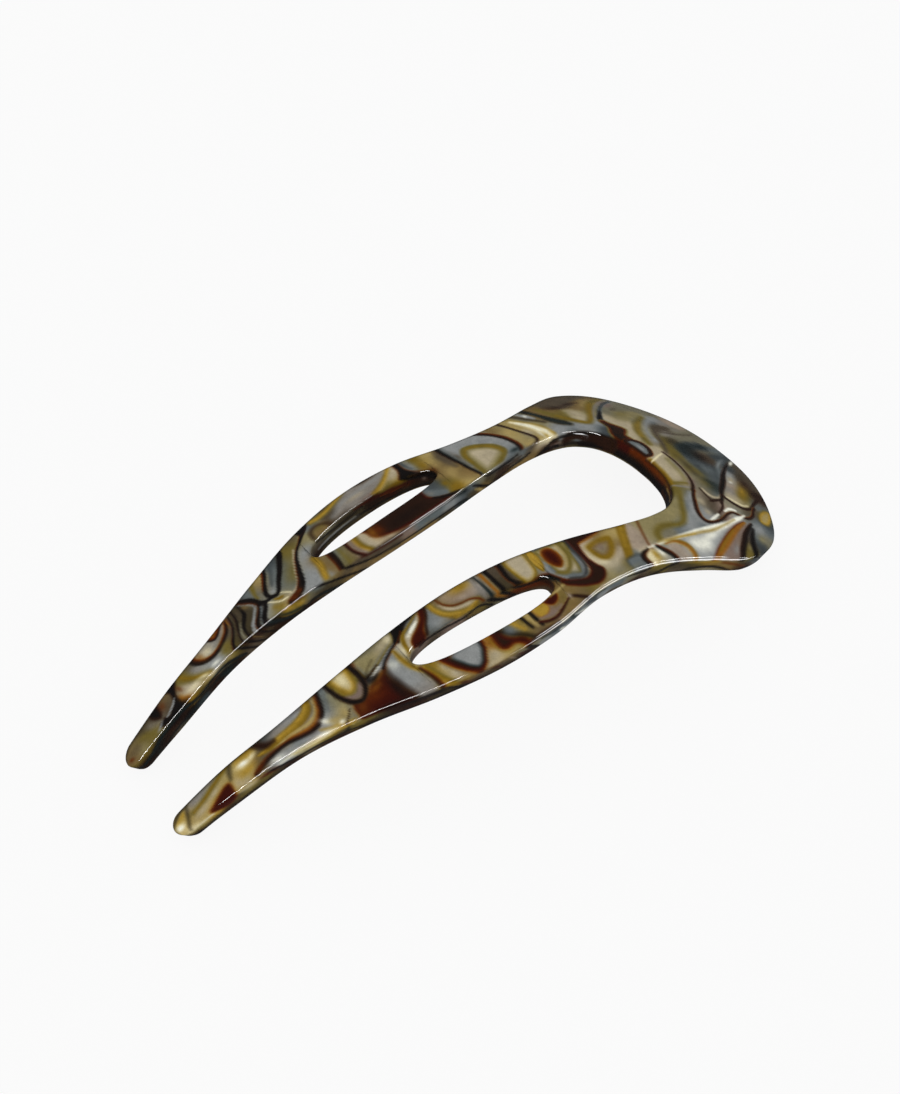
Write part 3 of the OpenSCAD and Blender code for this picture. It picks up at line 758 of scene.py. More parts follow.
def far_slot(f):
    """Round the far slot: gold and pearl bands over it, upright bands and the dark patch under it."""
    f.vein([38.7, 6.4, .5, 39, 8, .55, 39.4, 9.6, .55, 39.4, 11.4, .5], [-1, "ochre", 0, "gold",
            1, "ochre"], .6)
    f.vein([41.2, 5.6, .45, 41.5, 7.6, .5, 41.6, 9, .55, 41.6, 11.4, .55], [-1, "ink", .2, "umber",
            1, "rust"], .35)
    f.vein([42.9, 6, .2, 43, 8, .25, 43, 11, .25], "olive", .5, .7)
    f.vein([44.3, 11.2, .26, 44.3, 9, .26, 44.6, 7.6, .26, 45.3, 6.6, .24, 46.4, 6, .22], [-1, "umber",
            1, "maroon"], .35)
    f.vein([46, 11.4, .5, 45.9, 9, .5, 46.2, 7.6, .46, 46.8, 6.6, .4], [-1, "gold", 0, "ochre", 1, "olive"],
           .6)
    f.chip([47.8, 11.6, 47.8, 9.6, 48.2, 8.3, 49.4, 7.5, 52, 6.8, 56, 6.8, 60, 7.2, 62.8, 7.7, 61.6, 8.4,
            60.2, 8.9, 59.2, 9.8, 58.3, 11.6], [0, "rust", .3, "maroon", .7, "umber"], .6)
    f.glow([54.6, 8.6, 3.4, 1, 2], "ink", .45)
    f.glow([48.6, 9.2, .7, 1.5, 0], "orange", .85)
    f.glow([49.6, 9, .8, 1.5, 0], "rust", .75)
    f.vein([41.6, 14.8, .3, 41.8, 16, .3, 42.6, 16.6, .3, 43.6, 16.6, .3, 44.6, 16, .3, 45.4, 15, .3],
           "umber", .7, .7)
    f.glow([43.4, 16, .9, .5, 0], "olive", .6)
    f.vein([46.4, 16.2, .5, 49, 17.2, .9, 52.6, 17.6, 1, 56, 18.2, .9, 57.6, 18.8, .5],
           [-1, "pearl", .2, "pearl", 1, "silver"], 1, .9)
    f.glow([51, 17.6, 1.6, .5, 5, 58, 17.6, .7, .8, -20], "cream", .6)
    f.vein([43, 18, .55, 44.4, 17.9, .6, 46, 18.2, .55, 47.6, 18.8, .5, 49.2, 19.5, .45, 50.4, 20.2, .35],
           [-1, "olive", 0, "gold", 1, "ochre"], .7)
    f.chip([49.8, 21, 51.8, 19.8, 54, 19.4, 56.3, 19.8, 58.2, 21], [0, "taupe", .4, "umber"], .7, .8)
    f.vein([59.2, 20.4, .4, 58.2, 19.2, .42, 57.1, 18.1, .46, 56, 17.2, .5, 54.8, 16.5, .5, 53.6, 16.1, .4],
           [-1, "ochre", 0, "gold", 1, "straw"], .6)
    f.vein([56.6, 15.7, .4, 58.2, 15.9, .36, 59.6, 15.4, .3], "ochre", .5)
    f.chip([59.5, 20.6, 60.7, 20.6, 60.5, 18.8, 60.6, 17.4, 61.2, 16.4, 62.6, 15.4, 63.6, 14.7, 62.6, 13.7,
            60.5, 14.6, 58.8, 15.2, 58.3, 16.2, 58.9, 17.2, 59.3, 18.3], [0, "rust", .2, "umber",
            .45, "ink"], .45)
    f.vein([60.9, 20.4, .2, 60.9, 18.4, .24, 61.4, 17, .2], "steel", .5, .8)
    f.glow([63.6, 14.4, .5, .8, 0], "rust", .6)
    f.glow([61.6, 18, .5, 1.6, 0], "silver", .6)
    f.glow([62.9, 18.8, .8, .9, 0, 63.1, 16.4, .6, .9, 0, 64, 9, 1, .8, 0, 63, 10.6, .5, .6, 0], "ochre", .75)
    f.glow([64.8, 15.6, 1, 1.6, 20, 65.4, 11.4, 1, 1.6, 0], "straw", .45)
    f.vein([59.6, 10.8, .5, 60.6, 9.7, .7, 61.8, 9, .5], "slate", .6)
    f.glow([59.8, 10.1, .6, .4, -40], "pearl", .6)
    f.vein([59.6, 9, .2, 61, 8.3, .26, 62.4, 8, .26, 63.8, 8, .16], "ink", .4)


def lens_eye(f):
    """The lens shaped eye of the far side, the pearly straw band with painted highlights on it, and the dark
    stripes beyond it.
    """
    f.glow([71.6, 17.6, 2.6, .8, 0, 76.6, 14.6, .8, 1.8, 20], "silver", .6)
    f.chip([68.9, 8.4, 68.7, 12, 68.9, 14.6, 70, 16.3, 71.6, 16.5, 73.6, 15.7, 75.5, 14.3, 76.3, 12.4,
            75.8, 11, 74, 9.6, 71, 8], [0, "silver", .4, "olive", .9, "olive", 1.4, "khaki", 2.2, "cream"],
           .8)
    f.vein([69.4, 12, .3, 69.7, 14.2, .4, 70.6, 15.4, .4, 72, 15.4, .45, 73.8, 14.5, .5, 75, 13, .5,
            75.1, 11.6, .4], [-1, "olive", 0, "ochre", 1, "olive"], .7, .75)
    f.vein([67.2, 19.2, .5, 67.2, 17.5, .46, 67.4, 16, .4, 67.6, 14.5, .36, 67.9, 13, .34, 68.1, 11.5, .32,
            68.4, 10.2, .3, 68.8, 8.6, .26], [-1, "umber", 0, "ink", 1, "navy"], .4)
    f.vein([68, 18.4, .2, 68, 16.4, .24, 68.3, 14, .24, 68.7, 11.4, .2], "slate", .5, .8)
    f.vein([66.4, 18.6, .3, 66.3, 16, .34, 66.8, 13, .3], "taupe", .7, .7)
    f.vein([73, 19, .3, 74.8, 18.3, .46, 76.2, 17.2, .52, 77.2, 16, .54, 78, 14.5, .56, 78.4, 12.9, .56,
            78.4, 11.6, .54, 78, 10.2, .5], [-1, "ink", -.2, "umber", .4, "rust", 1, "tan"], .35)
    f.glow([77, 11, .9, .4, 10], "navy", .8)
    f.glow([80, 15, .8, 3, 12], "straw", .5)
    f.vein([79.1, 19.4, .26, 79.8, 18.2, .3, 80.5, 16.6, .3, 81.1, 15, .3, 81.7, 13.5, .32, 82.1, 12.2, .34,
            81.8, 11.2, .34, 80.8, 10.6, .34], [-1, "taupe", 0, "umber", 1, "umber"], .4)
    f.vein([82, 18, .6, 83.1, 16.4, .95, 84, 14.8, 1.2, 84.6, 13.2, 1.3, 84.9, 11.6, 1.1, 85, 10.6, .7],
           [-1, "straw", -.2, "ivory", .5, "ivory", 1, "gold"], 1.1)
    # Painted highlights: near-white streaks and spots on the straw band.
    f.vein([82.6, 17.2, .2, 83.8, 15.4, .34, 84.4, 13.6, .3], "gleam", .6, .75)
    f.glow([83.7, 12.4, .4, 1.1, 0, 85, 12.8, .3, .8, 0], "gleam", .6)
    f.glow([84.2, 11.6, .3, .7, 0, 85.7, 12, .4, .6, 0], "gold", .6)
    f.vein([82.8, 20, .5, 84.2, 18.6, .5, 85.6, 16.9, .5, 87, 15.4, .5], [-1, "moss", 1, "taupe"], .6, .85)
    f.vein([84.6, 19.8, .3, 85.5, 18.5, .5, 86.3, 17.2, .36], "silver", .5)
    # Painted highlight: a near-white spot on the silver line.
    f.glow([85.6, 18.5, .3, .6, -30], "gleam", .7)
    f.vein([85.8, 20.8, .7, 87, 19, .65, 87.8, 17.2, .7, 88.6, 15.4, 1, 89.6, 14, 1.1, 90.4, 12.9, .6],
           [-1, "moss", 0, "navy", 1, "moss"], .8)
    f.glow([86.6, 19.6, .6, .7, -45], "ink", .75)
    f.glow([88.4, 12.2, 1.6, .5, -10, 91.6, 11.2, 1.2, .5, -15], "silver", .7)


def crown_far(f):
    """Far side of the crown: a soft olive V, a dark stem with a maroon chip, slate and olive bands."""
    f.glow([93.4, 20.6, 3, .9, 8, 98.6, 21.4, 3, .7, 4], "taupe", .7)
    f.vein([88, 20.6, .3, 92, 22, .3, 97, 22.9, .35, 102, 22, .3, 106, 19.8, .3], "moss", .8, .75)
    f.glow([92.6, 18.7, 2.2, .7, -15, 96.4, 19.2, 2, .5, 8], "umber", .7)
    f.glow([100.6, 20.2, 2.4, .7, 12], "tan", .7)
    f.vein([89.2, 19.2, .6, 90, 17, .8, 91, 15, .75, 92.4, 13.1, .6, 93.8, 12, .5, 95.2, 12.8, .6,
            96.8, 14.3, .75, 98.4, 16, .9, 100, 17.6, .85, 102.2, 19, .6, 105, 20, .4], "olive", 1)
    f.vein([90.6, 16, .3, 92.2, 13.7, .35, 93.8, 12.2, .3, 95.4, 13.1, .3, 97.4, 15, .5, 99.2, 17, .5,
            101, 18.6, .3], "ochre", .8, .8)
    f.glow([94.4, 15.6, 1.3, 1.7, 10], "cream", .9)
    f.glow([98.6, 18.1, 1.6, .6, 35], "straw", .5)
    f.vein([96, 12.4, .2, 97.4, 14.2, .25, 99.4, 16, .3, 101.4, 17.4, .3, 104, 18.7, .25], "pearl", .5, .8)
    f.vein([106.4, 18.6, .3, 104, 17.8, .34, 101.8, 16.6, .36, 99.8, 15.1, .38, 98.2, 13.6, .42,
            97, 12.3, .5, 96.6, 11.2, .4], [-1, "steel", .2, "steel", 1, "slate"], .5)
    f.vein([99.6, 14.9, .2, 98.2, 13.6, .34, 97, 12.3, .45, 96.6, 11, .4], "ink", .45)
    f.glow([95.2, 8.8, 1, 1, 0], "steel", .7)
    f.chip([96, 12, 97.3, 12, 97.7, 10.7, 98.6, 9.1, 98.9, 8, 98.2, 7, 97.3, 6.2, 97.4, 5, 96.2, 4.4,
            94.8, 4.4, 94.2, 6, 94.6, 8, 95.8, 9.8], [0, "olive", .2, "tan", .45, "rust", .9, "umber"], .5)
    f.glow([96.4, 9.8, .45, 1.5, 10, 95.4, 6.6, .6, 1, 0], "ink", .6)
    f.chip([95, 5.2, 96.9, 5.2, 98.1, 3.7, 98.2, 1.8, 97.1, 0, 95.4, 0, 95, 2.6],
           [0, "rust", .3, "umber", .65, "umber", 1, "slate"], .35)
    f.glow([96.5, 2.4, .4, 1.3, 0], "silver", .95)
    f.vein([99.2, 3, .5, 99.9, 5.2, .6, 100.7, 7, .7, 102.2, 8.6, .7, 104.2, 10, .65, 106.6, 11.4, .5],
           "olive", .9, .95)
    f.vein([99.9, 5.4, .3, 100.8, 7, .35, 102.2, 8.5, .35, 103.8, 9.6, .3], "gold", .8, .45)
    f.vein([101.4, 3.6, .6, 102.1, 6, .6, 103.6, 7.8, .6, 105.4, 9.2, .6, 107.6, 10.4, .55, 110, 11.2, .4],
           "silver", 1, .8)
    f.vein([100.4, 0, .3, 101.6, 1.8, .36, 102.6, 3.6, .4, 103.4, 5.2, .5, 104.6, 6.4, .65, 106.4, 7.2, .7,
            108.4, 7.2, .5], "taupe", .9)
    f.vein([104.6, 6.2, .2, 106, 5.6, .26, 108, 5, .26, 110.6, 4.7, .24, 113, 4.9, .16], "taupe", .6, .8)
    f.glow([105.4, 5, 1, .5, 10, 110, 6.4, 1.4, .7, 10], "pearl", .6)
    f.glow([104.8, 2.9, 1.3, .7, 20], "moss", .7)
    f.glow([103, 13.2, 2, 1, 15], "olive", .45)
    f.glow([103.4, 15.2, 1.4, .4, 30], "taupe", .5)
    f.glow([112, 9, 1, 2.6, 0], "blush", .6)
    f.vein([107, 19.8, .3, 109.8, 17, .4, 112, 14, .45, 113.6, 10.6, .45, 114.6, 7, .4, 115, 3, .3],
           "steel", 1, .7)


def crown_middle(f):
    """Middle of the crown: the deep blue-grey pool, the cream panel, a painted highlight, and a painted glint
    at the crown's edge with its dark line.
    """
    f.glow([106.4, 1, 2.2, 1, 5, 110, .8, 2, .8, -5], "navy", .8)
    f.glow([104.6, -.4, .9, 2, -10], "navy", .8)
    f.glow([107, -2, 1.6, 2, 10], "umber", .6)
    f.glow([110, -.9, 2.4, .7, -5], "stone", .5)
    f.glow([103.6, -4.6, .9, 2.8, -8], "steel", .8)
    f.glow([105.6, -5.8, 1.3, 1.5, 0], "slate", .6)
    f.glow([101.4, -4.4, .7, 3.4, -5], "moss", .6)
    f.glow([102.6, -8.6, .7, 1.6, 30], "navy", .6)
    f.vein([95.5, -.9, .5, 95.2, -2.4, .6, 95.1, -4, .6, 94.8, -5.6, .55, 94.5, -7, .4], "ochre", .7)
    f.glow([97.1, -4, .8, 2.2, 0], "cream", .6)
    f.vein([98.8, -1.4, .3, 98.7, -3.6, .4, 98.4, -5.4, .4, 97.6, -6.9, .35, 96, -7.2, .2], "khaki", .7)
    f.vein([95, -6.9, .2, 96.2, -7.2, .2, 97.4, -7.6, .2], "olive", .5)
    f.vein([95, -1.4, .1, 96.4, -1, .18, 97.6, -.5, .22, 99.2, 0, .12], "ivory", .3)
    f.vein([94, -7.2, .12, 95.6, -7.9, .2, 97.2, -8.6, .2], "pearl", .4)
    f.vein([99.8, .3, .22, 99.95, -2, .28, 99.7, -4.4, .3, 99.2, -6.4, .32, 98.6, -7.8, .34, 97.9, -8.7, .4,
            97.2, -9.3, .4], [-1, "umber", 0, "umber", 1, "lilac"], .45)
    f.vein([99.4, -2, .2, 99.2, -4.4, .2, 98.7, -6.2, .2], "pearl", .4, .6)
    f.vein([99.35, -9.4, .22, 99.4, -10.6, .3, 100, -11.5, .3, 101, -11.8, .24, 101.8, -11.4, .15], "cream",
           .4)
    f.vein([98.9, -9.2, .16, 98.85, -11, .18, 98.9, -12.2, .2], "umber", .35, .8)
    f.vein([112.3, -3, .25, 110.2, -3.8, .45, 108.4, -5, .5, 106.8, -6.8, .45, 105.4, -8.3, .25], "slate",
           .8, .95)
    f.glow([109.4, -4.3, 1.6, .22, 28], "silver", .7)
    # Painted highlight: a cream spot with a near-white glint in it.
    f.glow([108, -8.4, 1, .7, 35], "cream", .9)
    f.glow([107.4, -8.9, .4, .3, 0], "gleam", .7)
    f.vein([113, -3.9, .16, 111, -4.8, .22, 109, -6, .32, 107.4, -7.1, .42, 106, -8.3, .52, 104.6, -9.4, .5,
            103.2, -10.4, .42, 102.3, -11.3, .35, 101.4, -12.2, .3, 100.4, -13, .2],
           [-1, "umber", .2, "ink", 1, "umber"], .45)
    # Painted glint: a near-white spot at the crown's edge, a light spot and not a nick.
    f.glow([113.6, -3.9, 1.4, .3, 25, 113.2, -4.1, .7, .2, 25], "gleam", 1)


def crown_near(f):
    """Near side of the crown: a painted ridge of highlight, a painted silver sheen over a wedge, and the
    orange and black arcs.
    """
    f.glow([107.6, -11.6, 2.1, .9, 38], "ochre", .85)
    f.glow([108.2, -11, 1, .4, 38], "gold", .5)
    f.glow([110.6, -9.6, 1.6, 1.2, 50, 110.8, -12.4, 1.3, 1.4, 40], "umber", .75)
    f.glow([111.6, -7.6, 1.6, .7, 30], "moss", .6)
    f.vein([102.3, -11.4, .26, 102.6, -12.6, .3, 103.4, -13.9, .32, 104.4, -14.8, .32, 105.8, -15.1, .32,
            106.8, -14.7, .26, 108.6, -13.9, .3, 110, -13.4, .4], "umber", .35)
    f.vein([103, -12, .16, 103.8, -13.2, .22, 104.8, -14.2, .2, 106, -14.4, .14], "ivory", .35, .85)
    f.glow([98.2, -12.8, 1.1, 1, 20], "taupe", .7)
    f.glow([96.6, -11.8, .7, 1, 0, 96, -14, .6, .7, 0], "cream", .7)
    f.vein([98.6, -12.1, .2, 99.8, -12.2, .26, 100.8, -12.3, .24], "umber", .4)
    f.vein([101, -12.5, .14, 100.2, -13.5, .2, 99.2, -14.2, .2, 98.2, -14.6, .14], "umber", .4)
    # Painted glints: two near-white streaks.
    f.vein([95.2, -15.5, .12, 96.2, -15.3, .26, 97.6, -14.9, .2], "gleam", .3)
    f.vein([99.6, -14.6, .18, 101, -14.4, .3, 102, -14.9, .2], "gleam", .3)
    f.vein([96, -9.6, .3, 94.8, -11, .45, 93.6, -12.9, .55, 93, -14.6, .5, 93.6, -16, .3], "silver", .7)
    f.vein([97.4, -9.3, .3, 96.3, -10.3, .36, 95.2, -11.8, .4, 94.3, -13.2, .44, 93.9, -14.6, .42,
            94.3, -15.6, .36, 95.5, -16, .3, 97, -15.95, .28, 98.4, -15.6, .28, 99.6, -15.2, .26,
            100.8, -15.1, .25, 101.6, -15.5, .3, 102.4, -16.3, .34, 103.6, -16.8, .34, 105, -16.4, .32,
            106, -15.6, .3, 107, -15, .3], [-1, "umber", 0, "umber", .6, "rust", 1, "tan"], .35)
    f.vein([83.4, -16.2, .5, 83.8, -14.7, .6, 85.2, -13.9, .6, 87, -14.1, .55, 88.6, -14.5, .5,
            90, -14.2, .55, 91.2, -13, .55, 92.2, -11.6, .5, 93.4, -10, .5, 94.4, -8.8, .3], "olive", .8)
    f.glow([92, -14.9, 1.2, .8, 0, 89.6, -15.6, 1.6, .4, 0], "silver", .7)
    f.vein([82.4, -11.5, .25, 81.9, -12.8, .24, 81.4, -14.2, .22, 81, -15.6, .2, 80.9, -16.6, .16], "rust",
           .4, .6)
    f.vein([79.6, -10.6, .8, 78.6, -12.2, .78, 77.8, -13.8, .74, 77, -15.4, .74, 76.3, -16.6, .6], "ochre",
           .5)
    f.vein([79.4, -10.8, .4, 78.4, -12.6, .35, 77.4, -14.6, .35], "gold", .6, .5)
    # Painted sheen and highlight: the silver and near-white wedge, and the near-white, straw and gold ridge
    # line along it.
    f.glow([89, -18.9, 3.4, 1.7, -8, 93, -18.6, 3, 1, 10], "silver", .9)
    f.glow([88.8, -18.6, 1.4, 1.3, -10, 90.4, -19.2, 1.6, 1.2, 20, 92.6, -18.1, 2.4, .7, 8,
            96.4, -17.4, 2.6, .4, 4], "gleam", .9)
    f.vein([80.6, -16.3, .12, 83, -16.4, .2, 86, -16.5, .3, 89, -16.6, .36, 92, -16.7, .4, 95, -16.9, .42,
            98, -16.9, .4, 101, -16.5, .4, 103, -16.2, .16], "gleam", .4)
    f.vein([82.6, -16.1, .16, 85, -16.3, .26, 88, -16.7, .26, 91, -17, .3, 94, -17.3, .3, 97, -17, .2,
            100, -16.5, .16], "straw", .45, .9)
    f.vein([84, -16.4, .1, 87, -16.6, .14, 90, -17, .14], "gold", .3, .8)
    f.vein([89.6, -22.3, .5, 92, -21, .7, 94, -20.1, .75, 96, -19.2, .74, 98, -18.4, .62, 99.8, -17.8, .5,
            101.6, -17.4, .3], [-1, "orange", .2, "orange", .7, "rust", 1, "lilac"], .45)
    f.vein([92, -21, .2, 95, -19.5, .26, 98, -18.2, .2], "ochre", .5, .7)
    f.glow([95.4, -21.6, 1.3, .5, 35], "silver", .7)
    f.vein([94.8, -23.6, .6, 96.4, -22, .62, 98.2, -20.6, .62, 100, -19.3, .56, 101.6, -18.5, .46,
            102.9, -17.9, .3], [-1, "ink", .5, "umber", 1, "lilac"], .45)
    f.glow([98.6, -22, .7, .5, 50], "khaki", .8)
    f.vein([98.6, -23.6, .6, 99.5, -21.8, .55, 100.8, -20.2, .46, 102.4, -18.9, .3], "ink", .5, .9)
    f.glow([102.6, -21, .9, .7, 40], "khaki", .7)
    f.glow([103.8, -19.2, 1.2, .9, 20], "silver", .6)
    f.chip([105.6, -17.8, 106.8, -16.3, 109.2, -15.6, 110.2, -16.4, 108.8, -18, 106.8, -18.9],
           [0, "olive", .4, "gold", .9, "straw"], .7)
    f.chip([75.6, -16.7, 78, -16.5, 78.6, -17.6, 78.4, -19.4, 76, -19.4], [0, "steel", .5, "slate"], .6, .9)
    f.glow([79.8, -17.8, .45, .9, 0], "ivory", .9)
    f.glow([80.7, -17.8, .4, .9, 0], "gold", .85)
    # Painted highlight: a near-white spot.
    f.glow([81.8, -17.7, .45, .9, 10], "gleam", .9)
    f.vein([80.2, -16.5, .2, 79, -16.9, .44, 78.5, -17.7, .5, 78.7, -18.7, .44, 79.2, -19.9, .36],
           [-1, "ink", .1, "umber", 1, "rust"], .35)
    f.vein([82, -16.6, .34, 82.6, -17.6, .46, 83.2, -18.6, .5, 83.6, -20, .46], [-1, "navy", 0, "umber",
            1, "rust"], .4)
    f.glow([84.9, -18, .7, 1.1, 0], "blush", .9)
    f.vein([83.6, -16.8, .16, 85.2, -16.9, .3, 86.2, -17.5, .5, 86.9, -18.4, .56, 87, -19.6, .56,
            86.6, -21, .5], [-1, "straw", 0, "orange", 1, "ochre"], .45)


def near_eyes(f):
    """The two eyes between the near slot and the crown, with the maroon band that wraps them."""
    f.chip([63.9, -7.6, 70.2, -8.6, 70, -12.5, 69.5, -14.9, 68.3, -16.2, 66, -15.5, 64.2, -13.8, 63.9, -11],
           [0, "slate", .4, "silver", .9, "slate", 1.2, "olive", 1.5, "khaki", 1.8, "cream"], .4)
    f.glow([66.8, -14.8, 1.8, .6, -25], "slate", .8)
    f.vein([68.6, -8.4, .4, 68.6, -10.4, .45, 68.3, -12, .45, 67.4, -13.4, .4, 66.2, -14, .36, 65, -13.4, .2],
           "olive", .6)
    f.vein([67.9, -9, .2, 67.9, -11.4, .25, 67, -13.2, .2], "straw", .5, .8)
    f.chip([65.1, -9.1, 66.2, -8.7, 67.2, -9.3, 67.6, -10.8, 67.3, -12.3, 66.3, -13.1, 65.3, -12.4,
            64.7, -10.8], [0, "khaki", .2, "orange", .5, "rust", 1.1, "maroon"], .4)
    f.chip([63.5, -7.7, 64.3, -8.3, 64.6, -9.8, 64.2, -11.4, 63.5, -12.2, 63, -10.9, 62.9, -9.3],
           [0, "ochre", .16, "ochre", .4, "gold"], .3)
    f.chip([59.6, -7.2, 62.9, -7.4, 63.1, -9.6, 62.8, -11.6, 61.6, -12.6, 60.2, -12.3, 59.5, -10.4],
           [0, "olive", .3, "ochre", .6, "straw", 1, "cream"], .4)
    f.glow([61.8, -9.2, .8, 1.8, 0], "cream", .9)
    f.vein([59.2, -12.3, .28, 61, -12.6, .3, 62.6, -12.7, .34, 63.6, -13.1, .42, 64.3, -14.1, .45,
            65, -15.2, .5], [-1, "navy", 0, "ink", 1, "rust"], .35)
    f.chip([64.6, -14.6, 66.4, -15.4, 68.2, -16.1, 69.4, -15.6, 69.8, -14, 69.8, -12, 69.8, -10.2,
            69.9, -8.6, 72.6, -9.2, 75.6, -10.3, 73.4, -10.7, 71.4, -10.9, 70.9, -12, 70.8, -13.6,
            71.2, -15, 71.7, -16.2, 71, -17.4, 69.4, -18, 67.4, -17.5, 65.8, -16.6, 64.6, -15.6],
           [0, "rust", .25, "maroon", .55, "umber"], .4)
    f.vein([69.8, -8.8, .2, 69.7, -11, .22, 69.7, -13, .22, 69.4, -14.8, .24, 68, -15.9, .2, 66, -15.2, .2],
           [-1, "ink", 1, "steel"], .45, .8)
    f.vein([71.2, -10.9, .1, 73, -10.8, .16, 75, -10.6, .1], "orange", .35)
    f.chip([71.5, -11.8, 73.8, -11.3, 76.3, -11.7, 76.2, -13.2, 75.1, -14.7, 73.6, -15.4, 72.2, -14.9,
            71.5, -13.4], [-.3, "straw", .3, "ochre", .8, "ochre", 1.2, "tan", 1.6, "khaki"], .8)
    f.glow([73.7, -13, .9, .9, 0], "lilac", .75)
    f.vein([71.3, -12, .2, 71.4, -14, .34, 72.3, -15.6, .45, 73.8, -16.1, .4, 75.4, -15.4, .3,
            76.2, -14.4, .15], "cream", .9, .8)
    f.glow([72.2, -15.4, .9, .4, -30], "ivory", .6)
    f.glow([72, -18.4, 4, .4, 4], "khaki", .7)
    f.glow([66.6, -18.8, 1.4, .4, -20], "tan", .6)


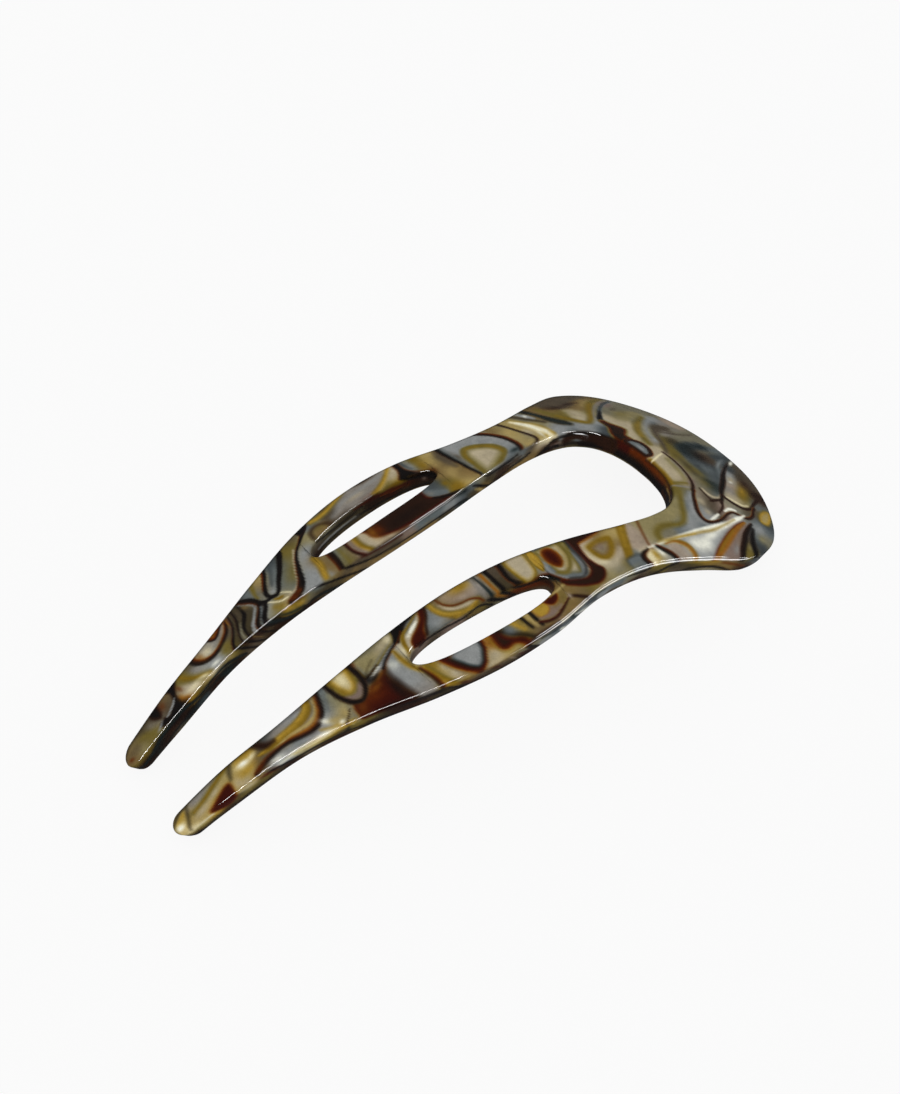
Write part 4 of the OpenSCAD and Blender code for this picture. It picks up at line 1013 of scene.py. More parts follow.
def near_slot(f):
    """Round the near slot: maroon chip, gold ring and dark bands above it, the V and gold chips below."""
    f.chip([39.6, -6.4, 44.8, -6.4, 43.7, -7.2, 42.4, -7.6, 41.5, -8.2, 40.7, -8.7, 40, -9.3, 39.4, -8.4],
           [0, "umber", .3, "ink"], .3)
    f.glow([43, -7.5, .8, .25, 15], "slate", .9)
    f.vein([44.6, -7, .14, 43, -7.75, .16, 42, -8.2, .2, 41.3, -8.5, .26, 40.8, -9, .3, 40.5, -9.8, .32,
            40.3, -10.8, .32, 40.1, -11.8, .26], "ochre", .35)
    f.vein([45, -7.1, .1, 43.9, -8, .26, 43, -8.5, .36, 42.2, -9, .4, 41.5, -9.5, .34, 41.1, -10.3, .34,
            40.9, -11.4, .3], "cream", .35)
    # Painted glint: a near-white streak and spot on the cream band.
    f.vein([43.8, -8.1, .12, 43, -8.5, .24, 42.2, -8.9, .2], "gleam", .3)
    f.glow([41.7, -9.2, .35, .3, 40], "gleam", .6)
    f.chip([45.4, -6.2, 46.3, -6.6, 45.7, -8, 44.9, -9, 44.1, -9.8, 43.8, -10.6, 44, -11.4, 42.6, -11.7,
            41.3, -11.4, 41.2, -10.4, 41.9, -9.6, 42.8, -9.1, 43.6, -8.6, 44.3, -8, 44.7, -7.2],
           [0, "orange", .2, "rust", .5, "maroon", .8, "maroon"], .3)
    f.vein([46.2, -6.6, .22, 45.5, -8.2, .22, 44.6, -9.4, .2, 43.9, -10.6, .24], "umber", .35)
    f.glow([45.8, -9.8, .8, .8, 0], "silver", .6)
    f.vein([46.8, -6.4, .45, 47, -8.2, .5, 47.7, -9.6, .55, 49, -10.5, .52, 50.6, -10.9, .48, 52.2, -10.7, .4,
            53.2, -10.4, .2], [-1, "ochre", 0, "gold", 1, "olive"], .45)
    f.vein([48, -8, .2, 48.6, -9.2, .3, 49.8, -9.95, .32, 51.4, -10.3, .3, 52.6, -10.2, .2], "cream", .35, .9)
    f.vein([48, -6.4, .26, 48.3, -8, .28, 49.2, -9.1, .28, 50.4, -9.6, .26, 51.8, -9.8, .26, 52.8, -10.3, .3,
            53.4, -11, .3, 53.9, -11.9, .22], [-1, "tan", 0, "rust", 1, "tan"], .35)
    f.glow([51.6, -8.9, 1.4, .5, -10], "blush", .8)
    f.glow([51.9, -7.3, 1.8, .9, 0], "gold", 1)
    f.glow([52.3, -7.5, 1, .4, 0], "ochre", .5)
    f.vein([43.6, -11.1, .24, 45, -11.05, .26, 46.5, -11.2, .24, 48, -11.6, .24, 50, -11.7, .24,
            52, -11.3, .2, 53.4, -12, .2], "ink", .3)
    f.vein([54, -7.2, .3, 54.1, -9, .34, 54, -10.8, .2], "pearl", .4, .8)
    f.vein([54.5, -7, .12, 54.8, -8.6, .2, 54.9, -10, .26, 54.95, -11.2, .3, 55.4, -12.6, .3], "navy", .35)
    f.vein([55.5, -6.6, .4, 55.7, -8.6, .42, 55.8, -10.2, .4, 56, -12, .36], [-1, "tan", -.2, "orange",
            .4, "orange", 1, "khaki"], .35)
    f.vein([56.3, -6.4, .36, 56.6, -8.4, .34, 56.7, -10, .34, 56.9, -11.4, .36, 57.6, -12.8, .34], "ink", .35)
    f.vein([58.8, -6.6, .46, 58.6, -8.8, .44, 58.5, -10.2, .4, 58.9, -11.4, .36, 60, -12.3, .3],
           [-1, "rust", -.5, "umber", 0, "ink"], .4)
    f.vein([59.2, -12.4, .1, 61.4, -13, .3, 63, -14.4, .3], "rust", .6, .7)
    f.vein([40.5, -14.6, .4, 40.9, -16.2, .6, 41.4, -17.6, .6, 42.2, -18.8, .5, 43.6, -19.8, .34],
           [-1, "gold", .3, "ochre", 1, "olive"], .45)
    f.glow([42.6, -16.2, .5, .8, 20, 43.2, -17.9, .5, .7, 30], "cream", .85)
    f.glow([44.4, -19.2, .7, .35, -30], "straw", .8)
    f.chip([44.4, -15.4, 48.6, -15.6, 48.4, -17.2, 47.6, -18.6, 46.6, -19.2, 45.7, -18.7, 44.9, -17.4],
           [0, "slate", .6, "silver", 1.2, "silver"], .4)
    f.vein([43, -15, .7, 43.6, -16.3, .72, 44.3, -17.5, .7, 45.2, -18.7, .62, 46.3, -19.4, .5,
            47.4, -19.1, .5, 48.2, -18.1, .48, 48.8, -17.1, .46, 49, -15.8, .46], [-1, "tan", -.7, "orange",
            -.4, "rust", 0, "maroon", .5, "umber", .8, "ink", 1, "navy"], .6)
    f.glow([43.7, -15.2, .8, .5, 0], "maroon", .85)
    f.glow([49.9, -17.2, .6, 1.2, 0], "orange", .85)
    f.glow([49.3, -18.9, 1, .8, 0], "cream", .85)
    f.chip([50.4, -15.4, 52.3, -15.4, 52.4, -17, 53.2, -18, 54.4, -18.7, 55.1, -19.8, 55.4, -21, 53.9, -20.8,
            52.7, -19.6, 51.2, -19.6, 50.2, -18.9, 50, -17.4],
           [0, "ochre", .2, "orange", .45, "rust", .8, "maroon", 1.2, "umber"], .8)
    f.vein([51.4, -15.6, .3, 52.2, -16.8, .36, 53.2, -17.9, .36, 54.4, -18.8, .34, 55.6, -20, .3], "ink",
           .8, .85)
    f.glow([53.2, -17.2, .8, .7, -30], "slate", .85)
    f.vein([54, -15.8, .4, 54.5, -17, .42, 55.1, -18.2, .3], "gold", .5, .8)
    f.vein([55.7, -15.6, .26, 55.9, -17.2, .26, 56.2, -18.6, .2], "ink", .35)
    f.vein([56.5, -16, .24, 56.8, -17.6, .26, 57, -18.8, .2], "straw", .35, .7)
    f.vein([57.3, -15.6, .3, 57.4, -17.4, .3, 57.7, -19, .24], "ink", .35)
    f.chip([57.9, -16, 59.9, -16.1, 60.3, -17.3, 59.4, -18.1, 58.1, -17.9], [0, "orange", .3, "gold",
            .7, "gold"], .45)
    f.chip([60, -16.2, 62.6, -15.8, 62.3, -17, 60.9, -17.4], [0, "orange", .2, "rust", .4, "maroon"], .35)
    f.vein([58, -18.2, .2, 60, -18.4, .24, 62, -18, .2], "lilac", .4, .8)
    f.vein([57.6, -18.5, .26, 58.8, -19, .3, 60.2, -19.1, .28, 61.6, -18.6, .26, 62.8, -18, .2,
            63.8, -17.5, .14], [-1, "umber", .3, "maroon", 1, "tan"], .4)
    f.vein([61.4, -15.9, .16, 63, -15.8, .2, 64.4, -15.5, .16], "straw", .35)
    f.vein([64, -17.4, .2, 64.8, -17.9, .26, 65.6, -18.5, .28, 66.6, -19.2, .26], "umber", .4)
    f.glow([64, -17.4, .35, .5, 0], "blush", .9)
    f.vein([55, -20.2, .3, 57, -20.1, .3, 60, -20, .25], "umber", .5, .8)
    f.vein([43.6, -20.2, .3, 47, -20.6, .35, 50, -20.6, .3, 52.6, -20.4, .2], "moss", .7, .8)


def near_middle(f):
    """Before the near slot: the maroon heart, the gold eye, the glare patch, the long brown band and painted
    highlights along the outer edge.
    """
    f.chip([33, -6.4, 39.5, -6.2, 39.8, -8.2, 38.2, -9.1, 36.4, -9.9, 35.2, -10.4, 33.4, -10.7, 33, -9.2],
           [0, "moss", .2, "olive", .5, "stone", 1, "khaki"], .3)
    # Painted glare: cream spots over the patch.
    f.glow([37.8, -7.9, 1.4, .7, 20, 39.2, -7.4, .5, .7, 0], "cream", .8)
    f.glow([36, -7.4, 1.6, .5, 0], "stone", .6)
    f.vein([33.5, -10.2, .12, 34.4, -9.4, .12, 35.6, -8.8, .1], "moss", .4, .6)
    f.vein([33.3, -10.6, .12, 34.4, -10.3, .14, 35.6, -9.9, .1], "umber", .25)
    f.vein([33.4, -11.1, .16, 34.6, -10.9, .22, 35.8, -10.5, .26, 37, -9.9, .2, 38.4, -9.3, .16], "silver",
           .3)
    # Painted highlight: a near-white line beside the silver one.
    f.vein([33.6, -10.9, .08, 34.6, -10.7, .12, 35.6, -10.3, .1], "gleam", .2, .8)
    # Painted glare: an ivory spot.
    f.glow([39, -7.6, .5, .8, 0], "ivory", .6)
    f.glow([33.1, -7.6, .3, .7, 0], "rust", .7)
    f.chip([33, -11.8, 34.8, -11.3, 36.4, -10.9, 35.9, -12, 36, -13.4, 36.4, -15, 36.8, -17.4, 33, -16.8,
            29.6, -15.4, 29.3, -13.6, 29.7, -12.4, 31, -12.9, 32.4, -12.4], [0, "orange", .15, "rust",
            .4, "maroon"], .45)
    f.glow([34.6, -11.5, 1.6, .45, 12, 33.4, -12.6, 1.2, .5, 10], "orange", .75)
    f.glow([32.6, -13.4, 1.9, 1, -10], "rust", .7)
    f.glow([30.4, -13.6, .8, 1, -20], "orange", .4)
    f.glow([35.8, -14.6, .8, 2.2, 5, 33.6, -16.2, 2, .6, -18], "ink", .75)
    f.vein([41, -7.9, .3, 39.8, -8.8, .26, 38.4, -9.5, .24, 37, -10.2, .28, 36.1, -11, .3],
           [-1, "ink", 0, "ink", 1, "rust"], .3)
    f.glow([33.5, -10.9, .75, .7, 30, 34.3, -11.3, .9, .35, 15], "ink", .85)
    f.vein([36.1, -11.3, .3, 36, -12.6, .36, 36.2, -14, .42, 36.5, -15.6, .5, 36.9, -17.2, .5], "umber", .9,
           .8)
    f.glow([37.9, -13.4, .8, 2.4, 5], "silver", .8)
    # Painted highlight: a near-white spot on the silver.
    f.glow([37.4, -11.4, .7, .8, 30], "gleam", .5)
    f.vein([38.7, -9.8, .3, 38.8, -11.4, .45, 39.1, -12.8, .45, 39.6, -14, .38, 40, -14.8, .25],
           [-1, "gold", 0, "ochre", 1, "straw"], .5)
    f.glow([39.7, -10.6, .35, .8, 0], "ivory", .7)
    f.vein([39.9, -14.2, .18, 40.3, -15.6, .26, 40.6, -17, .34, 40.7, -18.8, .34], [-1, "umber", 1, "rust"],
           .45)
    f.chip([28.5, -6.4, 32.4, -6.4, 32.6, -9, 32.1, -10.7, 30.8, -11.5, 29.5, -10.9, 28.8, -9.2],
           [0, "moss", .3, "olive", .7, "ochre", 1.1, "gold", 1.4, "straw"], .4)
    f.glow([30.6, -8.4, .8, 1.7, 5], "ivory", .85)
    f.glow([29.8, -10, .5, .8, 20], "ochre", .7)
    f.vein([29.5, -11, .3, 30.4, -11.6, .4, 31.4, -11.6, .45, 32.2, -10.6, .34], "lilac", .45, .9)
    f.vein([28.1, -6.4, .3, 28.5, -8.6, .32, 28.8, -10, .34, 29.3, -11.2, .36, 30, -12.2, .38,
            31, -12.7, .36, 31.8, -12.4, .36, 32.5, -11.5, .4, 32.8, -10.4, .42, 32.85, -9.4, .42,
            32.7, -8.2, .4, 32.5, -6.6, .4], [-1, "umber", 0, "ink", 1, "umber"], .35)
    f.glow([20, -7.8, 2.2, .45, 0, 23.4, -7.4, .8, .4, 0], "pearl", .8)
    f.vein([15.6, -8.7, .25, 17.4, -9, .55, 19.5, -9.1, .7, 21.6, -9.2, .8, 23.4, -9, .85, 24.6, -8.3, .8,
            25, -7, .7], [-1, "tan", -.4, "ochre", .5, "gold", 1, "ochre"], .5)
    f.vein([18, -9.65, .14, 20, -9.65, .2, 21.6, -9.9, .26, 23.4, -10.2, .3, 24.8, -9.8, .26,
            25.6, -8.7, .2, 25.9, -7.4, .14], "straw", .35)
    f.vein([18.4, -9.9, .12, 20.4, -10, .16, 22, -10.5, .24, 23.6, -10.8, .28, 25, -10.2, .26, 25.8, -9, .2,
            26.2, -7.6, .14], "orange", .35)
    f.vein([13.8, -10.4, .34, 16, -10, .42, 18, -10, .36, 20, -10.3, .36, 21.6, -10.9, .4, 23.2, -11.35, .42,
            24.7, -11.1, .44, 25.8, -10.1, .44, 26.3, -9, .42, 26.6, -8, .4, 27, -6.4, .4],
           [-1, "ink", .1, "umber", 1, "rust"], .35)
    f.vein([19, -11.2, .3, 21.4, -11.7, .4, 23.8, -12.3, .4, 25.6, -12.4, .3], "silver", .6, .8)
    # Painted highlight along the outer edge: ivory, gold and near-white lines and spots, and the straw and
    # gold spots after them.
    f.vein([17, -11.7, .1, 20, -12, .18, 23, -12.8, .24, 26, -13.5, .2], "ivory", .4, .85)
    f.vein([19.6, -12.3, .14, 22, -12.9, .24, 24.4, -13.4, .28, 26.8, -13.9, .26, 28.6, -14.3, .2], "gold",
           .6, .9)
    f.vein([24.2, -12.2, .12, 25.4, -12.9, .2, 26.6, -13.2, .16], "gold", .6, .9)
    f.glow([25.4, -11.6, .9, .4, -50, 24.2, -12.9, 1.3, .3, -16], "gleam", .8)
    f.vein([26.6, -10.6, .3, 27.2, -9, .34, 27.6, -7.4, .3], "slate", .5, .6)
    f.glow([26.4, -12.4, 1, .5, -30, 28.2, -12.6, .5, .8, 10], "straw", .8)
    f.glow([27.8, -14.2, 1, .4, -25], "gold", .6)
    f.vein([28.9, -12.6, .08, 28.2, -13.3, .1, 27.4, -13.9, .12], "umber", .2)
    # Painted glint: a near-white spot.
    f.glow([27.1, -13.3, .4, .3, 0], "gleam", .9)


def near_tip(f):
    """Tip of the near prong: pearly gold with folds of olive, painted highlights, a painted dark rim along
    its inner edge and one maroon chip.
    """
    # Painted shade: a dark moss rim along the inner edge.
    f.vein([-.2, -8, .3, .6, -6.4, .3, 2.4, -5.7, .26, 6, -5.6, .26, 10, -6, .26, 14, -6.4, .26,
            17, -6.8, .3], "moss", .4, .9)
    f.glow([12.4, -8.6, 2.4, 1.1, 0, 1.6, -7.6, 1.8, 1, 0, 6.4, -8.6, 2, .6, 0], "gold", .5)
    f.glow([1, -6.9, .9, .5, 20, 2.2, -6.4, .6, .3, 20], "gold", 1)
    # Painted highlight at the very tip: ivory and near-white spots.
    f.glow([1, -7.4, 1, .55, -20], "ivory", .9)
    f.glow([.9, -7.5, .6, .4, -20], "gleam", 1)
    f.glow([2.4, -8.9, 1.6, .4, -20], "ivory", .7)
    f.vein([3.3, -5.9, .3, 2.9, -6.9, .34, 2.3, -8, .3, 1.9, -8.7, .16], "moss", .6, .8)
    f.glow([3.6, -7.4, .6, .4, 0], "olive", .7)
    f.vein([3.8, -7.5, .3, 6, -7.3, .4, 8, -6.9, .4, 9.6, -6.6, .36, 11.4, -6.3, .3],
           [-1, "olive", 0, "ochre", 1, "olive"], .6)
    f.glow([5.4, -6.4, 1.6, .34, 0, 8, -6.2, 1, .25, 0], "pearl", .8)
    f.glow([5, -8.3, 1.6, .5, 0, 7.6, -7.8, 1, .3, 10], "cream", .8)
    f.chip([5.4, -9.3, 6.6, -8.8, 8, -8.4, 9.3, -8.1, 10.2, -8.3, 10.4, -9.2, 10.1, -10.2, 9.2, -11.2,
            7, -10.8], [0, "orange", .25, "rust", .6, "maroon"], .5)
    f.glow([11.2, -9.4, .7, 1, 0, 12.2, -10.2, .7, .7, 0], "cream", .7)
    f.vein([10.6, -8.2, .2, 11, -7.3, .34, 11.6, -6.4, .34], "moss", .6, .8)
    f.glow([13, -7, 1, .4, 0, 14.4, -7.5, 1.4, .5, 0, 13.2, -9, 1.2, .5, 0], "gold", .85)
    # Painted highlight: ivory and near-white spots.
    f.glow([13.2, -7.9, 1.1, .5, -10, 14.8, -7.9, .7, .35, 10], "ivory", .9)
    f.glow([13.3, -7.8, .8, .3, -10], "gleam", 1)
    f.glow([14.8, -6.8, .8, .25, 0], "ochre", .8)
    f.vein([15.4, -6.4, .3, 16.2, -7.3, .5, 17.2, -8.3, .5, 18.4, -8.6, .3], "umber", .6, .9)
    f.glow([14.6, -10.2, 1, .4, 10], "rust", .8)
    # Painted glint: a near-white streak.
    f.glow([17.3, -11, 1, .35, -15], "gleam", .8)


MARKS = [far_tip, far_bands, far_slot, lens_eye, crown_far, crown_middle, crown_near, near_eyes, near_slot,
         near_middle, near_tip]


# Washes of the walls: place along, height under the upper face as a negative, and colour. On the outer walls
# the ivory and near-white washes just under the edge, up to about 23 mm along, are a painted highlight.
NEAR_WALL_WASHES = [
    0, -.4, "ivory", .6, -1.2, "olive", 1.4, -2, "umber", 2.4, -.3, "ivory", 3, -1.2, "olive",
    4.2, -.4, "gleam", 4.8, -1.1, "gold", 5.4, -2, "moss", 4.6, -2.8, "ink", 6.4, -1.3, "gold",
    7.4, -2.2, "umber", 8, -.6, "maroon", 8.4, -1.7, "moss", 10, -1.5, "olive", 10.4, -.9, "moss",
    11.6, -.3, "gleam", 11.8, -.9, "straw", 12, -1.6, "olive", 12.6, -2.2, "moss", 10, -2.9, "umber",
    14, -1.7, "olive", 15, -.5, "maroon", 15.6, -2.2, "moss", 14.6, -2.9, "umber", 17.8, -.2, "gleam",
    18.4, -.9, "silver", 18.4, -2.2, "umber", 20.2, -.5, "ivory", 20.6, -1.1, "khaki", 22.6, -.6, "ivory",
    23.4, -1.2, "olive", 25, -.6, "gold", 26.2, -1.1, "moss", 21.6, -2.4, "taupe", 25, -2.4, "umber",
    18.4, -3, "umber", 23, -3, "umber", 28.4, -.6, "olive", 29.2, -1.4, "olive", 30.6, -.8, "olive",
    30, -2.1, "umber", 31.6, -1.4, "moss", 33, -.6, "umber", 34.2, -1.4, "umber", 36, -.6, "ink",
    38.4, -.6, "ink", 40.4, -.8, "ink", 37.4, -1.7, "umber", 39, -2.3, "moss", 35, -2.3, "umber",
    31.4, -2.8, "ink", 42, -.4, "gold", 43.4, -.7, "ochre", 42.6, -1.5, "moss", 44.6, -1.2, "tan",
    43.8, -2.3, "umber", 46.2, -1.7, "taupe", 46.4, -2.6, "umber", 48.6, -.5, "tan", 49.8, -1.3, "taupe",
    48.4, -2.2, "moss", 51, -.6, "tan", 51.6, -1.9, "moss", 53, -.9, "stone", 53.4, -2.3, "umber",
    50.4, -2.8, "umber", 56.6, -1, "stone", 57.8, -1.9, "silver", 59.6, -1.2, "steel", 60.4, -2.3, "slate",
    61.6, -.8, "slate", 62.2, -2.9, "silver", 63.4, -1.4, "steel", 64.8, -1.6, "silver",
    66.6, -2.6, "silver", 65.6, -.8, "slate", 67.4, -1.5, "steel", 69.8, -1.2, "slate", 69.8, -2, "silver",
    72.6, -1.5, "slate", 72, -2.8, "moss", 75.4, -1.7, "stone", 76.8, -2.7, "umber", 78.2, -1.6, "taupe",
    80, -1, "olive", 81, -1.5, "olive", 80, -2.1, "moss", 84.2, -1.3, "moss", 84.4, -2.2, "taupe",
    86.4, -.9, "olive", 86, -1.7, "moss", 88.2, -.9, "ochre", 88.6, -1.5, "tan", 88.4, -2.9, "stone",
    90.6, -1.1, "tan", 91.8, -1.7, "tan", 93.2, -1.3, "moss", 93.6, -2.1, "umber", 95, -.5, "slate",
    96, -1.3, "silver", 97.2, -2.3, "slate", 98.4, -3, "steel", 98.6, -.6, "steel", 99.6, -1.5, "khaki",
    101, -1.2, "slate", 101.2, -2.1, "khaki", 102, -2.8, "olive", 102.4, -1.3, "silver",
    103.2, -2.3, "slate", 104, -3.1, "slate", 106, -.9, "slate", 107.6, -1, "moss", 108.2, -1.9, "taupe",
    110, -1.4, "tan", 110.2, -2.3, "gold", 110.4, -3, "olive", 112.2, -1.6, "stone", 111.8, -.9, "umber",
    113, -2.4, "taupe", 114.6, -1.4, "taupe", 115.6, -2.4, "steel", 116, -.8, "umber",
]

FAR_WALL_WASHES = [
    1, -.3, "olive", 3.4, -.3, "ochre", 6, -.3, "moss", 1.4, -1.2, "umber", 3.4, -.9, "moss",
    4.4, -1.8, "navy", 2.2, -2.2, "umber", 5.6, -2.3, "umber", 8, -1.3, "umber", 9.2, -.5, "ink",
    11.4, -.3, "umber", 10.6, -1.2, "umber", 8.6, -2.6, "taupe", 11.4, -1.9, "ink", 13, -.6, "gold",
    14.4, -.4, "ochre", 16.4, -.3, "straw", 15, -.9, "moss", 18.6, -.3, "ivory", 20.6, -.4, "straw",
    19.4, -.7, "moss", 17, -1.6, "umber", 14, -2.6, "steel", 17, -2.6, "umber", 19.4, -2, "navy",
    22.2, -.8, "olive", 22.8, -1.6, "moss", 21.4, -2.6, "umber", 24, -2.6, "taupe", 23.9, -.6, "umber",
    25.4, -1.6, "taupe", 26.4, -1, "umber", 27.4, -1.8, "moss", 28.4, -2.5, "umber", 30.4, -.4, "ink",
    31.6, -.6, "gold", 32.4, -1.2, "olive", 33.8, -.9, "ochre", 31, -2.8, "umber", 35.2, -1.2, "stone",
    36.4, -1.7, "moss", 35, -2.8, "umber", 37.4, -.3, "slate", 39, -.3, "khaki", 38.6, -1.3, "moss",
    40.4, -.6, "tan", 40.8, -2, "moss", 41.6, -2.4, "tan", 42, -1.1, "taupe", 43.4, -1.8, "tan",
    44.6, -2.5, "taupe", 44.6, -.9, "taupe", 38.4, -2.8, "moss", 46, -2.4, "tan", 49, -2.6, "tan",
    53, -2.7, "tan", 57, -2.7, "tan", 60.6, -2.8, "moss", 48, -1.2, "taupe", 50.4, -1.5, "taupe",
    53, -1.3, "lilac", 56, -1.2, "slate", 58.6, -1.3, "slate", 61.4, -1.3, "silver", 63.4, -1.7, "slate",
    64.6, -.8, "steel", 64.4, -2.6, "steel", 66.4, -2.2, "moss", 66.6, -1, "slate", 68.8, -2.4, "tan",
    68.4, -.7, "stone", 70.4, -1.6, "moss", 73, -1.4, "taupe", 73.4, -2.1, "umber", 72, -.4, "silver",
    75.6, -.5, "slate", 76.4, -1.3, "taupe", 78.4, -.9, "slate", 80, -1.2, "taupe", 79.4, -2.4, "tan",
    82.4, -1.4, "cream", 81.4, -2, "tan", 84, -.8, "ivory", 83.4, -2, "umber", 78, -2.9, "tan",
    74.6, -3, "tan", 86, -.3, "ivory", 83.4, -2.9, "umber", 86, -1.5, "umber", 89, -.3, "silver",
    88, -2.6, "taupe", 91, -1.4, "umber", 94, -1.2, "umber", 97, -1.6, "umber", 93, -2.8, "moss",
    97, -2.6, "ink", 101, -.8, "umber", 104, -1.6, "umber", 108, -.9, "maroon", 112, -.9, "rust",
    116, -.9, "rust", 108, -2.3, "ink", 112, -2, "ink", 116, -2, "ink",
]


def near_wall(f):
    """Outer walls: bands of the face bend over the edge, and the walls grow darker towards the foot. The
    near-white lines and streaks on them are painted highlights and reflections.
    """
    f.vein([-.5, -2.4, .5, 1.6, -2.2, .45, 3.2, -2.7, .3, 5, -3, .3, 7, -3.1, .3, 9, -2.8, .2,
            10.4, -2.45, .16, 12, -2.45, .14, 14, -2.7, .16, 18, -3.2, .25, 24, -3.2, .25], "ink", .35)
    # Painted highlight: a near-white line under the edge at the tip.
    f.vein([0, -.1, .2, 2, -.15, .2, 4, -.35, .26, 5.6, -.7, .14], "gleam", .35)
    f.chip([6, .6, 10.2, .6, 9.9, -.6, 9, -1.3, 7.8, -1.5, 6.4, -.8], [0, "rust", .4, "maroon"], .5)
    f.glow([6, -1.3, .7, .3, 0], "gold", .8)
    f.chip([13.4, .6, 16.4, .6, 15.9, -.4, 16.6, -1, 16.2, -1.5, 15, -1.1, 14.2, -.6], [0, "rust",
            .4, "maroon", .8, "ink"], .5)
    f.vein([15.6, -.8, .3, 16.6, -1.2, .3, 18, -1.5, .24, 20, -1.8, .22, 23, -1.75, .2, 26, -1.75, .18,
            27.4, -1.8, .16, 29, -2.2, .2, 31, -2.7, .26, 34, -2.9, .26, 38, -2.9, .26, 41, -2.6, .3,
            44, -2.9, .3, 50, -3, .3, 55, -3, .3], "ink", .35)
    # Painted highlight and sheen under the edge: near-white spots and an ivory and gold line.
    f.glow([17.8, -.3, 1, .5, 0], "gleam", .8)
    f.vein([19.4, -.4, .2, 21, -.5, .34, 23, -.5, .36, 25.4, -.4, .2], [-1, "gold", 0, "ivory", 1, "gold"],
           .3)
    f.glow([22, -.45, 1.6, .2, 0], "gleam", .6)
    f.vein([27.9, .5, .07, 27.4, -.5, .16, 26.9, -1.6, .14], "ink", .2)
    f.vein([28.3, .2, .1, 28, -.5, .1], "ivory", .2, .7)
    f.glow([37.8, -.5, 3.4, .5, 0], "ink", .7)
    f.vein([41.6, .4, .4, 42.2, -.5, .5, 43, -1.2, .3], "ochre", .6)
    f.vein([41.4, -1.2, .2, 42.6, -2, .24, 44, -2.6, .24], "ink", .4)
    f.chip([44.6, .6, 47.8, .6, 47.4, -.2, 46.4, -1, 45.4, -.4], [0, "rust", .3, "umber", .6, "ink"], .4)
    f.glow([43.8, -1.5, 1, .3, -30, 48.8, -1.6, .9, .4, -30, 53, -1.5, .9, .3, -30], "maroon", .6)
    f.vein([50.6, -.4, .1, 51.3, -1.2, .14, 52, -2, .12], "blush", .35, .6)
    f.vein([53.3, .6, .4, 53.9, -.4, .36, 54.8, -1.4, .3, 55.8, -2.4, .3, 56.6, -3.2, .26], "ink", .35)
    f.vein([55.4, -.3, .1, 56.6, -1.2, .14, 57.4, -1.9, .1], "silver", .3, .6)
    f.vein([56.6, -.9, .2, 58.2, -1.2, .26, 59.6, -1.4, .16], "navy", .4, .7)
    # Painted reflections: near-white streaks running down the wall.
    f.vein([60.6, -2.2, .3, 61.6, -2.9, .3, 62.4, -3.4, .3], "gleam", .5, .8)
    f.vein([62.2, -.2, .3, 62.8, -1, .26, 63.6, -2.2, .24, 64.4, -3.2, .2], "navy", .5, .6)
    f.vein([63.4, -1.2, .12, 64.8, -2, .2, 66, -2.7, .3, 67.2, -3.4, .3], "gleam", .45, .7)
    f.vein([65.6, -.9, .12, 67.6, -2, .2, 69.4, -3, .2], "steel", .4, .7)
    f.vein([66.8, -.4, .1, 68.2, -.7, .14, 70, -.9, .08], "navy", .35, .6)
    f.vein([68.4, -1.4, .14, 71, -2, .2, 74.4, -2.3, .16], "silver", .45, .5)
    f.vein([74.4, -.8, .08, 76, -1, .2, 77.6, -1, .24, 78.8, -.8, .12], "ink", .28)
    f.vein([83.6, -.7, .2, 82.4, -1.3, .26, 81.2, -2.1, .26, 79.6, -2.9, .26], "ink", .4)
    f.vein([84.6, -3, .12, 86, -2.4, .2, 88, -2, .26, 90, -2.2, .24, 91.6, -2.8, .16], "ink", .35)
    f.glow([87.6, -.8, 2.4, .25, 0], "gold", .6)
    f.vein([90.2, -1, .2, 92, -1.4, .26, 93.6, -2, .2], "rust", .45, .7)
    f.vein([92.2, .1, .2, 94, -.1, .3, 95.6, -.8, .16, 97.6, -2.2, .12, 99.2, -3.2, .12], "ink", .35)
    f.vein([93.2, -.5, .1, 94.8, -1.1, .2, 96.6, -2.3, .16, 97.8, -3.2, .16], "steel", .35)
    f.vein([94.4, .1, .14, 96, -.7, .16, 97.6, -2, .18, 99.2, -3.2, .18], "silver", .3)
    f.vein([95.8, .6, .36, 96.8, -.4, .4, 98.2, -1.6, .34, 100, -3, .3], "ink", .35)
    f.vein([98.8, -1, .12, 100.4, -2, .2, 102, -3, .2], "khaki", .4, .8)
    f.vein([101.6, .8, .6, 102.6, -.4, .6, 104, -1.4, .6, 105.6, -2.4, .5, 106, -2.8, .2], [-1, "ochre",
            0, "gold", .6, "straw", 1, "gold"], .4)
    f.vein([106.4, .4, .34, 106.2, -1, .34, 106.5, -2.2, .3, 107, -3.2, .26], "ink", .4)
    # Painted reflection: a near-white streak low on the wall.
    f.vein([106.9, -2.5, .08, 107.8, -3, .12, 108.8, -3.6, .14], "gleam", .25)
    f.glow([110.2, -2.2, 1.3, .8, 0], "gold", .6)
    f.glow([107.8, -.7, 1.2, .4, 0, 113, -.7, 1.6, .4, 0], "umber", .7)
    f.vein([112.8, -3.3, .2, 113.6, -2.4, .2, 114, -1.4, .2], "umber", .35)


